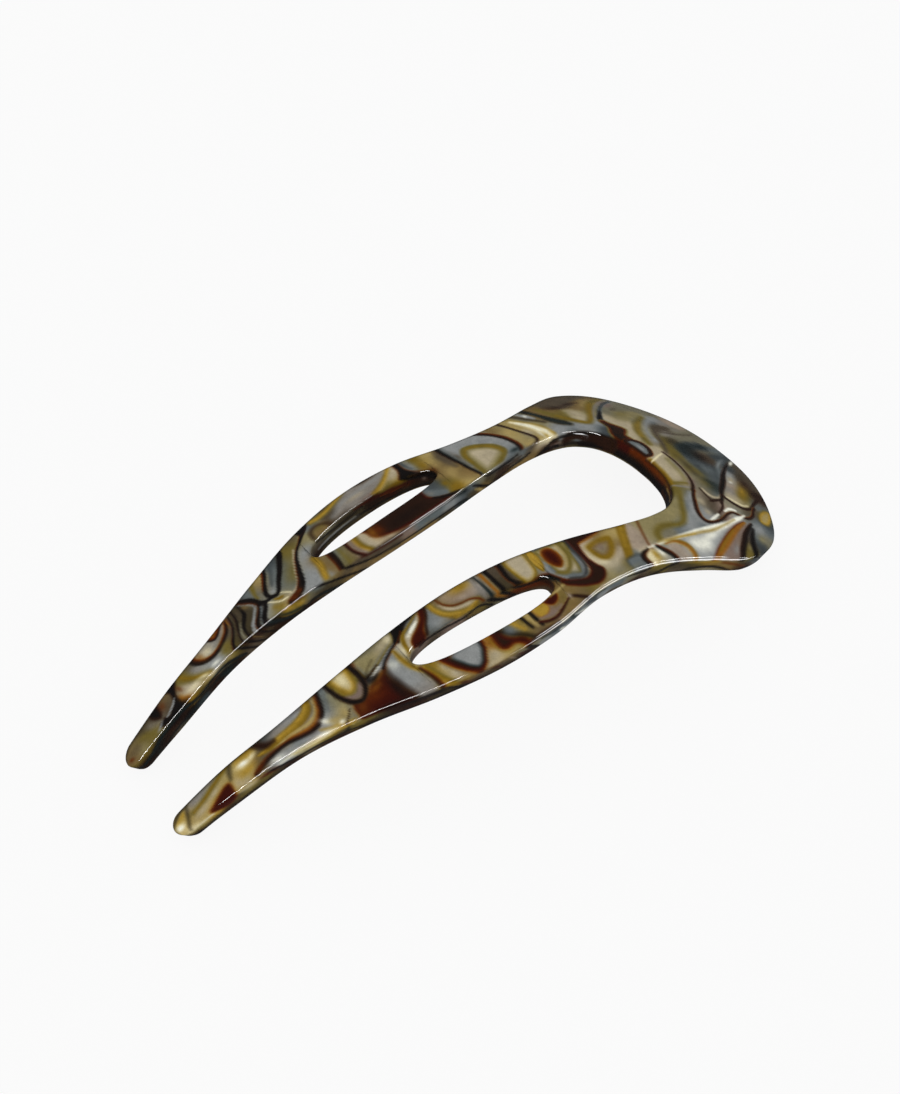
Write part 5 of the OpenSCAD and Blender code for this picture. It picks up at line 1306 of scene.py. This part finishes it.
def far_wall(f):
    """Inner walls: long dark waves under the thin bands, then brown and slate layers to the crown."""
    f.vein([-.4, -1.5, .2, 1.6, -1.5, .3, 3.4, -1.4, .34, 5, -1, .4, 6.6, -.6, .42, 8.6, -.4, .5,
            10.6, -.4, .5, 12, -.7, .4, 13.4, -1.2, .3, 15, -1.3, .24, 17, -1, .2, 19, -.9, .24,
            20.6, -1.2, .28, 22, -1.8, .3, 23, -2.3, .2], [-1, "ink", 0, "navy", 1, "ink"], .35)
    f.vein([-.4, -2.5, .2, 2, -2.2, .2, 4.4, -1.8, .2, 7, -1.4, .12], "ink", .35, .8)
    f.vein([5.4, -2.6, .12, 8, -2.2, .2, 11, -2.2, .26, 14, -2, .2, 16.6, -1.9, .16, 19, -1.9, .34,
            21.4, -2.3, .2], [-1, "navy", 1, "ink"], .4)
    f.vein([9, -2.9, .1, 12, -2.6, .16, 15, -2.7, .1], "navy", .35, .8)
    f.vein([22.4, .6, .24, 23, -.6, .26, 23.8, -1.6, .22, 24.8, -2.7, .18, 25.4, -3.2, .14], "ink", .3)
    f.vein([24, .6, .22, 24.6, -.8, .2, 25.4, -1.8, .18, 26.6, -2.9, .14], "ink", .28)
    f.vein([25.2, .6, .1, 25.5, -.6, .1, 26.4, -1.8, .1], "tan", .22, .8)
    f.vein([26.2, .6, .16, 26.7, -.6, .16, 27.4, -1.6, .16, 28.8, -2.9, .12], "ink", .28)
    f.vein([27.4, .6, .6, 28.2, -.3, .6, 29.4, -1.2, .5, 30.8, -2, .4, 32.2, -2.5, .3, 34, -2.4, .2,
            35.6, -2, .2, 37.2, -2.1, .26, 38.6, -2.5, .3, 40.4, -3, .3], [-1, "ink", .3, "navy", 1, "ink"],
           .35)
    f.vein([30.2, -.1, .12, 31, -1.1, .2, 32.4, -1.7, .26, 34, -1.9, .12], "navy", .35, .8)
    f.glow([31.6, -.4, .9, .4, 0, 33.6, -1.1, .8, .3, 0], "gold", .7)
    f.glow([34.4, .1, .8, .45, 0], "maroon", .95)
    f.vein([34.2, -.5, .05, 33.9, -1.2, .05], "straw", .15, .7)
    f.vein([34.8, .1, .24, 36.6, -.1, .24, 38.6, -.8, .22, 40.6, -1.5, .22, 42.6, -2.2, .2, 45, -3, .18],
           "ink", .3)
    f.vein([40.9, .6, .24, 41.8, -.2, .22, 43, -.7, .2, 44.8, -1.3, .18, 46.6, -1.7, .17, 49, -1.95, .16,
            53, -2.15, .14, 58, -2.2, .15, 62, -2.2, .2, 65, -2.5, .2], "ink", .28)
    f.vein([43.8, .6, .2, 44.6, -.1, .18, 46, -.5, .16, 48.6, -.75, .14, 52, -.85, .12], "maroon", .3, .85)
    f.vein([46, -.2, .2, 49, -.3, .2, 53, -.35, .14, 58, -.3, .1], [-1, "taupe", 1, "umber"], .25)
    f.vein([52, -.4, .06, 56, -.45, .1, 61, -.5, .14, 65, -.7, .16], "ink", .3, .7)
    f.glow([59, -1.2, 4, .5, 0], "slate", .6)
    f.glow([61.6, -1.4, 1.6, .4, 0], "silver", .5)
    f.glow([64.2, -.7, 1.2, .25, -10, 64.6, -2.7, 1.6, .3, -10], "navy", .7)
    f.vein([66.4, -.8, .12, 67.4, -1.3, .2, 68.6, -2.1, .24, 70, -2.8, .2], "ink", .28)
    f.vein([67, -1.8, .1, 68, -2.4, .2, 68.8, -3.1, .2], "straw", .3, .9)
    f.vein([69.2, -.6, .1, 70.4, -.85, .24, 73, -.9, .28, 75.4, -.8, .2, 77, -.55, .1], "ink", .3)
    f.vein([70, -2.8, .14, 73, -2.6, .16, 76, -2.2, .16, 78.6, -1.9, .2, 80, -1.5, .16], "ink", .3)
    f.vein([72, -1.5, .12, 75, -1.5, .16, 78, -1.3, .1], "umber", .35, .7)
    f.vein([81.8, -2.9, .2, 83.2, -2.4, .3, 85, -2.2, .3, 88, -2.2, .24], "ink", .4)
    f.vein([83.6, -1.9, .12, 85.2, -1.3, .2, 87, -.95, .24, 90, -.8, .25, 94, -.6, .25, 98, -.4, .24,
            104, -.1, .15], "ink", .3)
    f.vein([85.2, -2, .1, 87, -1.9, .12, 89, -1.8, .1], "lilac", .3, .8)
    f.glow([94.4, -1.9, 1.5, .2, 0], "slate", .9)
    f.vein([87, -2.5, .12, 91, -2.4, .16, 96, -2.3, .2, 102, -2.6, .2], "ink", .4)
    f.glow([93, -2.9, 2.4, .2, 0], "moss", .6)


def near_inner_crown(f):
    """The crown's inner wall: rust and orange glow through the sheet under a dark edge."""
    f.glow([112, -1, 4, .6, 0], "rust", .6)
    f.glow([108, -.8, 3, .6, 0, 104, -.9, 3, .4, 0], "orange", .45)
    f.vein([116, -.5, .14, 110, -.35, .14, 104, -.4, .14, 98, -.6, .14, 92, -.6, .14], "umber", .3)
    f.vein([104, -1.2, .08, 101, -1.3, .1, 98, -1.2, .08], "straw", .2, .7)
    f.vein([106, -1.8, .2, 100, -2, .3, 94, -1.9, .3], "ink", .5)


def far_slot_wall(f):
    """Walls of the far slot: thin dark layers with a slate streak, brown and maroon to the right."""
    f.vein([42.4, -.35, .06, 45, -.4, .08, 49, -.4, .06], "pearl", .3, .7)
    f.vein([41.6, -.5, .08, 43.4, -.9, .16, 46, -1.15, .16, 49, -1.1, .14, 51, -1, .12], "ink", .28)
    f.vein([49.6, -.5, .12, 52, -.65, .16, 55, -.9, .16, 58, -1.2, .14, 60.6, -1.4, .12], "maroon", .28)
    f.vein([41.4, -1.85, .1, 44, -1.85, .14, 47, -1.9, .16, 50, -2, .16], "silver", .3, .9)
    f.vein([42, -2.15, .1, 44.4, -2.3, .12, 47, -2.25, .1, 49.4, -2.3, .1], "ink", .28)
    f.vein([49.8, -2, .16, 53, -2.2, .2, 56, -2.4, .2, 59, -2.65, .2, 63, -2.7, .24], "ink", .3)
    f.vein([51, -1.4, .1, 54, -1.5, .14, 57, -1.75, .14, 60, -1.9, .14], "ink", .3, .7)
    f.vein([54.6, -1.2, .1, 57, -1.5, .14, 60, -1.8, .14], "rust", .35, .7)
    f.vein([58, .4, .2, 58.8, -.1, .3, 60.2, -.7, .26, 62.4, -1, .3], "ink", .35)
    f.glow([62.4, -1.6, .4, .3, 0], "lilac", .8)


def near_slot_wall(f):
    """Walls of the near slot: the face's bands bend over the edge above a wavy dark layer."""
    f.chip([41.4, .8, 45.4, .8, 43.6, 0, 43.5, -.7, 44.2, -1.2, 42.6, -1.3, 41.4, -.7, 40.8, 0],
           [0, "rust", .3, "maroon", .7, "umber"], .4)
    f.chip([43.8, .6, 47.6, .6, 48.4, -.3, 48.6, -.9, 45.6, -1, 44, -.6], [0, "stone", .4, "slate",
            .8, "silver"], .6)
    f.chip([48, .6, 53.4, .6, 53.6, -.3, 51.6, -.9, 49, -1.1, 48.4, -.4], [0, "olive", .3, "gold"], .5)
    f.vein([42.2, -1.4, .14, 44, -1.15, .2, 46, -1.3, .22, 48, -1.6, .2, 50, -1.8, .2, 51.4, -1.35, .18,
            52.6, -1, .16, 53.8, -1.5, .2, 55, -2.4, .2], "ink", .3)
    f.vein([54, .8, .3, 54.3, -.4, .34, 55, -1.2, .34, 56, -1.9, .3, 57, -2.5, .24], "ink", .35)
    f.vein([55.2, .8, .4, 55.6, -.4, .3, 56.2, -1.1, .26, 57.2, -1.8, .1], "orange", .35)
    f.vein([56.2, .8, .36, 56.5, -.4, .3, 57.2, -1.1, .28, 58, -1.8, .3, 58.8, -2.5, .24], "ink", .35)
    f.vein([58, .8, .3, 58.2, -.2, .26, 59, -.8, .26, 60.2, -1.15, .24, 61.6, -.95, .2, 62.6, -.5, .2,
            63.4, .1, .2], "ink", .3)
    f.chip([58.8, .8, 62.8, .8, 62.2, -.2, 60.8, -.6, 59.4, -.2], [0, "olive", .3, "gold", .8, "ivory"], .4)
    f.glow([60, -1.8, 2, .4, 0], "rust", .8)


SLOT_WALL_WASHES = [
    40, -.8, "taupe", 41, -.4, "stone", 41.4, -1.4, "taupe", 41, -2.3, "umber", 44.4, -.7, "stone",
    44.4, -1.5, "moss", 47.4, -.7, "moss", 47, -1.5, "moss", 50, -1.4, "moss", 43.4, -2.8, "moss",
    47, -2.8, "moss", 51, -2.8, "moss", 53, -1.2, "umber", 53.4, -1.9, "umber", 56, -.4, "olive",
    56.4, -1.4, "maroon", 58, -.5, "ochre", 58.4, -1.6, "umber", 55, -2.9, "moss", 59, -2.9, "moss",
    60.6, -1.7, "umber", 62.4, -2.2, "umber", 63.6, -1, "ink", 62.6, -2.9, "moss",
]

SLOT_INNER_WASHES = [
    39.6, -.6, "cream", 40, -1.8, "taupe", 41.4, -2, "lilac", 43, -2.2, "lilac", 45, -2.3, "taupe",
    47, -2.6, "lilac", 49.4, -2.6, "lilac", 52, -2.2, "tan", 51.4, -2.9, "moss", 53, -1.8, "olive",
    53.4, -.6, "taupe", 54.6, -2.6, "moss", 57.4, -.4, "moss", 57.8, -1, "olive", 56, -2.8, "stone",
    58.6, -1.4, "rust", 60.4, -1.8, "rust", 60.6, -2.7, "moss", 62.4, -1.6, "rust", 63.6, -.8, "umber",
    63, -2.6, "taupe", 44, -2.9, "moss", 58.4, -2.9, "umber",
]

# Each wall's washes and marks, the depth at which its colours start, and the width they come in over.
WALLS = {
    NEAR_OUTER: (NEAR_WALL_WASHES, [near_wall], .3, .5),
    FAR_OUTER: (NEAR_WALL_WASHES, [near_wall], .3, .5),
    FAR_INNER: (FAR_WALL_WASHES, [far_wall], .1, .3),
    NEAR_INNER: (FAR_WALL_WASHES, [far_wall, near_inner_crown], .1, .35),
    NEAR_SLOT: (SLOT_INNER_WASHES, [near_slot_wall], .25, .5),
    FAR_SLOT: (SLOT_WALL_WASHES, [far_slot_wall], .15, .3),
}


def painted(points, washes, marks, tall=1):
    """Colours of points after the washes and every mark of a list."""
    face = Face(points, washes, tall)
    for mark in marks:
        mark(face)
    return face.rgb


def swayed(start, x, y, waves):
    """A coordinate plus the sine of each wave: x over its length along and y over its length across."""
    for height, along, across in waves:
        start = start + height * np.sin(x / along + y / across)
    return start


def underside(flat):
    """Where the lower face looks up its colours: the other prong's side of the sheet, moved in waves."""
    x, y = flat[:, 0], flat[:, 1]
    return np.stack([swayed(x, x, y, UNDER_ALONG_WAVES), swayed(-y, x, y, UNDER_ACROSS_WAVES)], -1)


def mixed(a, b, share):
    """Two sets of colours, the second laid over the first by a share from 0 to 1."""
    share = np.clip(share, 0, 1)[:, None]
    return a * (1 - share) + b * share


def deepened(rgb):
    """The chart's colours seen through the clear skin: darks darker, lights lighter, hues fuller.

    A colour's grey moves to its new tone, and its distance from grey grows by one share.
    """
    grey = (rgb @ GREY_SHARES)[:, None]
    told = np.interp(grey, CHART_TONES, SKIN_TONES)
    return np.clip(told + (rgb - grey) * SKIN_HUE, 0, 1)


def marbling(flat, over, depth, wall, kind, thickness):
    """Colour of every vertex: the upper face, the walls and the underside, blended round the edges."""
    rgb = np.zeros((len(flat), 3))
    up = depth < FACE_DEPTH
    rgb[up] = painted((over - (CHART_START, 0))[up], WASHES, MARKS)
    low = depth > thickness - UNDER_START
    chart = (flat - (CHART_START, 0))[low]
    under = np.mean([painted(underside(chart + (0, aside)), WASHES, MARKS) for aside in UNDER_BLUR], 0)
    spot = np.stack([wall - CHART_START, -depth], -1)
    for number, (washes, marks, start, width) in WALLS.items():
        at = np.flatnonzero((kind == number) & (depth > WALL_DEPTH))
        side = painted(spot[at], washes, marks, WALL_TALL)
        rgb[at] = mixed(rgb[at], side, (depth[at] - start) / width)
    shaded = (kind == FAR_OUTER) & (wall < FAR_SHADE_END) | (kind == NEAR_INNER) & (wall < NEAR_SHADE_END)
    shade = EDGE_SHADE * np.exp(-((depth - EDGE_SHADE_DEPTH) / EDGE_SHADE_REACH) ** 2) * shaded
    rgb *= 1 - shade[:, None]
    rgb[low] = mixed(rgb[low], under, (depth[low] - (thickness - UNDER_BLEND_START)) / UNDER_BLEND)
    return deepened(rgb)


def linear(srgb):
    """sRGB values from 0 to 1 as linear light."""
    srgb = np.asarray(srgb, float)
    return np.where(srgb <= .04045, srgb / 12.92, ((srgb + .055) / 1.055) ** 2.4)


def socket_colour(text):
    """A hex value as a colour socket takes it: linear light, with full alpha."""
    return (*linear(hex_rgb(text)), 1)


def node(tree, kind, links=(), **settings):
    """Adds a node, sets its sockets and properties by name, and links outputs of other nodes into it."""
    made = tree.nodes.new(kind)
    for name, value in settings.items():
        if hasattr(made, name):
            setattr(made, name, value)
        else:
            made.inputs[name].default_value = value
    for name, source in dict(links).items():
        tree.links.new(source, made.inputs[name])
    return made


def empty_tree(owner):
    """The node tree of a material or a world, with nothing in it."""
    owner.use_nodes = True
    owner.node_tree.nodes.clear()
    return owner.node_tree


def acetate():
    """Pressed marbled cellulose acetate, tumbled and buffed.

    Chips of clear and pearly sheet lie in layers under a polished skin, so the colours run soft into
    one another, a fine silvery grain shows in the light chips, and the skin keeps thin clear highlights.
    """
    material = bpy.data.materials.new("pressed_marbled_acetate")
    tree = empty_tree(material)
    place = node(tree, "ShaderNodeTexCoord").outputs["Object"]
    paint = node(tree, "ShaderNodeAttribute", attribute_name="marbling").outputs["Color"]
    grain = node(tree, "ShaderNodeTexNoise", {"Vector": place}, **GRAIN)
    cloud = node(tree, "ShaderNodeTexNoise", {"Vector": place}, **CLOUDS)
    both = node(tree, "ShaderNodeMath", {0: grain.outputs["Fac"], 1: cloud.outputs["Fac"]}, operation="ADD")
    level = node(tree, "ShaderNodeMapRange", {"Value": both.outputs[0]}, **GRAIN_LEVELS)
    tint = node(tree, "ShaderNodeVectorMath", {0: paint, 1: level.outputs[0]}, operation="MULTIPLY")
    waves = node(tree, "ShaderNodeTexNoise", {"Vector": place}, **SKIN_WAVES)
    bump = node(tree, "ShaderNodeBump", {"Height": waves.outputs["Fac"]}, **SKIN_BUMP)
    shader = node(tree, "ShaderNodeBsdfPrincipled",
                  {"Base Color": tint.outputs[0], "Normal": bump.outputs[0]}, **SHEET, **SKIN)
    node(tree, "ShaderNodeOutputMaterial", {"Surface": shader.outputs[0]})
    return material


def floor_material():
    """Matt white sweep of paper, lit evenly: almost all of its light is its own, so it stays flat."""
    material = bpy.data.materials.new("matt_paper_sweep")
    tree = empty_tree(material)
    glow = node(tree, "ShaderNodeEmission", Color=socket_colour(PAPER), Strength=PAPER_GLOW)
    matt = node(tree, "ShaderNodeBsdfDiffuse", Color=socket_colour(PAPER_SHADOW))
    both = node(tree, "ShaderNodeAddShader", {0: glow.outputs[0], 1: matt.outputs[0]})
    node(tree, "ShaderNodeOutputMaterial", {"Surface": both.outputs[0]})
    return material


def card_material():
    """Glowing white card that stands in for a lamp: only reflections see it, and its left edge fades out."""
    material = bpy.data.materials.new("glowing_reflection_card")
    tree = empty_tree(material)
    place = node(tree, "ShaderNodeTexCoord").outputs["Object"]
    parts = node(tree, "ShaderNodeSeparateXYZ", {"Vector": place})
    reach = {"From Min": CARD_LEFT, "From Max": CARD_LEFT + CARD_FADE, "To Max": CARD_LIGHT}
    fade = node(tree, "ShaderNodeMapRange", {"Value": parts.outputs["X"]}, **reach)
    glow = node(tree, "ShaderNodeEmission", {"Strength": fade.outputs[0]}, Color=socket_colour(CARD))
    node(tree, "ShaderNodeOutputMaterial", {"Surface": glow.outputs[0]})
    return material


def studio_world():
    """A white studio that the camera and soft light see, and a dark room for reflections."""
    world = bpy.data.worlds.new("studio")
    tree = empty_tree(world)
    path = node(tree, "ShaderNodeLightPath")
    soft = node(tree, "ShaderNodeBackground", Color=socket_colour(PAPER), Strength=1.)
    room = node(tree, "ShaderNodeBackground", Color=socket_colour(ROOM), Strength=ROOM_LIGHT)
    both = node(tree, "ShaderNodeMixShader",
                {0: path.outputs["Is Glossy Ray"], 1: soft.outputs[0], 2: room.outputs[0]})
    node(tree, "ShaderNodeOutputWorld", {"Surface": both.outputs[0]})
    return world


def flat_sheet(scene, name, sides, height, material):
    """A flat sheet between its left and right sides and its front and back ones, at a height."""
    left, right, front, back = sides
    mesh = bpy.data.meshes.new(name)
    corners = ((left, front), (right, front), (right, back), (left, back))
    mesh.from_pydata([(x, y, height) for x, y in corners], [], [(0, 1, 2, 3)])
    mesh.materials.append(material)
    sheet = bpy.data.objects.new(name, mesh)
    scene.collection.objects.link(sheet)
    return sheet


def standing(place, x_way, y_way, z_way):
    """The matrix of an object at a place, with its own three axes along three ways."""
    return Matrix.Translation(place) @ Matrix((x_way, y_way, z_way)).transposed().to_4x4()


def studio_lamp(name, way, run, reach, sides, power):
    """A strip lamp at a distance along a way from the middle of the floor, turned to shine back at it."""
    data = bpy.data.lights.new(name, "AREA")
    data.shape = "RECTANGLE"
    data.size, data.size_y = sides
    data.energy = power
    lamp = bpy.data.objects.new(name, data)
    lamp.visible_diffuse = False
    back = Vector(way).normalized()
    across = back.cross(Vector(run)).normalized()
    lamp.matrix_world = standing(back * reach, across.cross(back), across, back)
    return lamp


def studio_camera():
    """The photograph's camera: aimed from the left front, and rolled a little."""
    azimuth, elevation, roll = (math.radians(v) for v in (CAMERA_AZIMUTH, CAMERA_ELEVATION, CAMERA_ROLL))
    right = Vector((math.cos(azimuth), math.sin(azimuth), 0))
    ahead = Vector((-math.sin(azimuth) * math.cos(elevation), math.cos(azimuth) * math.cos(elevation),
                    -math.sin(elevation)))
    up = right.cross(ahead)
    data = bpy.data.cameras.new("camera")
    data.lens = CAMERA_LENS
    data.sensor_width = CAMERA_SENSOR
    data.clip_start = CAMERA_CLIP
    camera = bpy.data.objects.new("camera", data)
    camera.matrix_world = standing(Vector(CAMERA_PLACE) * MM, right * math.cos(roll) - up * math.sin(roll),
                                   right * math.sin(roll) + up * math.cos(roll), -ahead)
    return camera


class HairpinSizes(PropertyGroup):
    """Sizes of the pin."""
    thickness: FloatProperty(name="Thickness", description="Thickness of the sheet",
                             default=3.3 * MM, min=2.4 * MM, max=4 * MM, unit="LENGTH")
    upper_round: FloatProperty(name="Upper edge", description="Radius of the upper polished edge",
                               default=.6 * MM, min=.3 * MM, max=.9 * MM, unit="LENGTH")
    lower_round: FloatProperty(name="Lower edge", description="Radius of the lower polished edge",
                               default=.5 * MM, min=.3 * MM, max=.9 * MM, unit="LENGTH")
    step: FloatProperty(name="Step", description="Distance between sections",
                        default=.26 * MM, min=.15 * MM, max=1 * MM, unit="LENGTH")
    cell: FloatProperty(name="Cell", description="Width of the face's cells",
                        default=.22 * MM, min=.15 * MM, max=1 * MM, unit="LENGTH")


class HairpinColours(PropertyGroup):
    """Colours of the sheet's chips and veins, and of the painted highlights."""
    __annotations__ = {
        name: FloatVectorProperty(name=name.capitalize(), description="Colour of the marks called " + name,
                                  default=tuple(RGB[name]), size=3, min=0, max=1, subtype="COLOR_GAMMA")
        for name in COLOURS}


class HAIRPIN_OT_pin(Operator):
    """Builds the pin and paints its marbling."""
    bl_idname = "hairpin.pin"
    bl_label = "Build pin"

    def execute(self, context):
        sizes = context.scene.hairpin_sizes
        thickness = sizes.thickness / MM
        for name in COLOURS:
            RGB[name] = np.array(getattr(context.scene.hairpin_colours, name))
        flat, over, depth, wall, kind, faces = pin_mesh(
            thickness, sizes.upper_round / MM, sizes.lower_round / MM, sizes.step / MM, sizes.cell / MM)
        rgb = marbling(flat, over, depth, wall, kind, thickness)
        mesh = bpy.data.meshes.new("marbled_pin")
        mesh.from_pydata(laid_down(bent(flat, depth), thickness), [], faces)
        mesh.shade_smooth()
        mesh.materials.append(acetate())
        paint = mesh.attributes.new("marbling", "FLOAT_COLOR", "POINT")
        paint.data.foreach_set("color", np.concatenate([linear(rgb), np.ones((len(rgb), 1))], 1).ravel())
        pin = bpy.data.objects.new("marbled_pin", mesh)
        context.scene.collection.objects.link(pin)
        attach(pin, "root")
        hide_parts("pin_body")
        print("pin", len(flat), "vertices", len(faces), "triangles")
        return {"FINISHED"}


class HAIRPIN_OT_studio(Operator):
    """Sets the floor, the card for reflections, the lamps and the camera."""
    bl_idname = "hairpin.studio"
    bl_label = "Set studio"

    def execute(self, context):
        scene = context.scene
        scene.view_settings.view_transform = "Standard"
        scene.view_settings.look = "None"
        floor_sides = (-FLOOR_REACH, FLOOR_REACH, -FLOOR_REACH, FLOOR_REACH)
        floor = flat_sheet(scene, "floor", floor_sides, 0, floor_material())
        floor.visible_glossy = False
        card_sides = (CARD_LEFT, CARD_RIGHT, CARD_FRONT, CARD_BACK)
        card = flat_sheet(scene, "white_card", card_sides, CARD_HEIGHT, card_material())
        card.visible_camera = False
        card.visible_diffuse = False
        card.visible_shadow = False
        scene.world = studio_world()
        for lamp in LAMPS:
            scene.collection.objects.link(studio_lamp(*lamp))
        camera = studio_camera()
        scene.collection.objects.link(camera)
        scene.camera = camera
        return {"FINISHED"}


class HAIRPIN_PT_panel(Panel):
    """Lists the pin's sizes and colours and the steps that build the scene."""
    bl_idname = "HAIRPIN_PT_panel"
    bl_label = "Hairpin"
    bl_space_type = "VIEW_3D"
    bl_region_type = "UI"
    bl_category = "Hairpin"

    def draw(self, context):
        sizes = context.scene.hairpin_sizes
        for name in ("thickness", "upper_round", "lower_round", "step", "cell"):
            self.layout.prop(sizes, name)
        for name in COLOURS:
            self.layout.prop(context.scene.hairpin_colours, name)
        for operator in (HAIRPIN_OT_pin, HAIRPIN_OT_studio):
            self.layout.operator(operator.bl_idname)


CLASSES = (HairpinSizes, HairpinColours, HAIRPIN_OT_pin, HAIRPIN_OT_studio, HAIRPIN_PT_panel)


def register():
    """Registers the classes and gives the scene its sizes and colours."""
    for one in CLASSES:
        bpy.utils.register_class(one)
    bpy.types.Scene.hairpin_sizes = PointerProperty(type=HairpinSizes)
    bpy.types.Scene.hairpin_colours = PointerProperty(type=HairpinColours)


def unregister():
    """Takes back what register() added."""
    del bpy.types.Scene.hairpin_colours
    del bpy.types.Scene.hairpin_sizes
    for one in reversed(CLASSES):
        bpy.utils.unregister_class(one)


def main():
    """Builds the pin and its studio."""
    register()
    bpy.ops.hairpin.pin()
    bpy.ops.hairpin.studio()


if __name__ == "__main__":
    main()
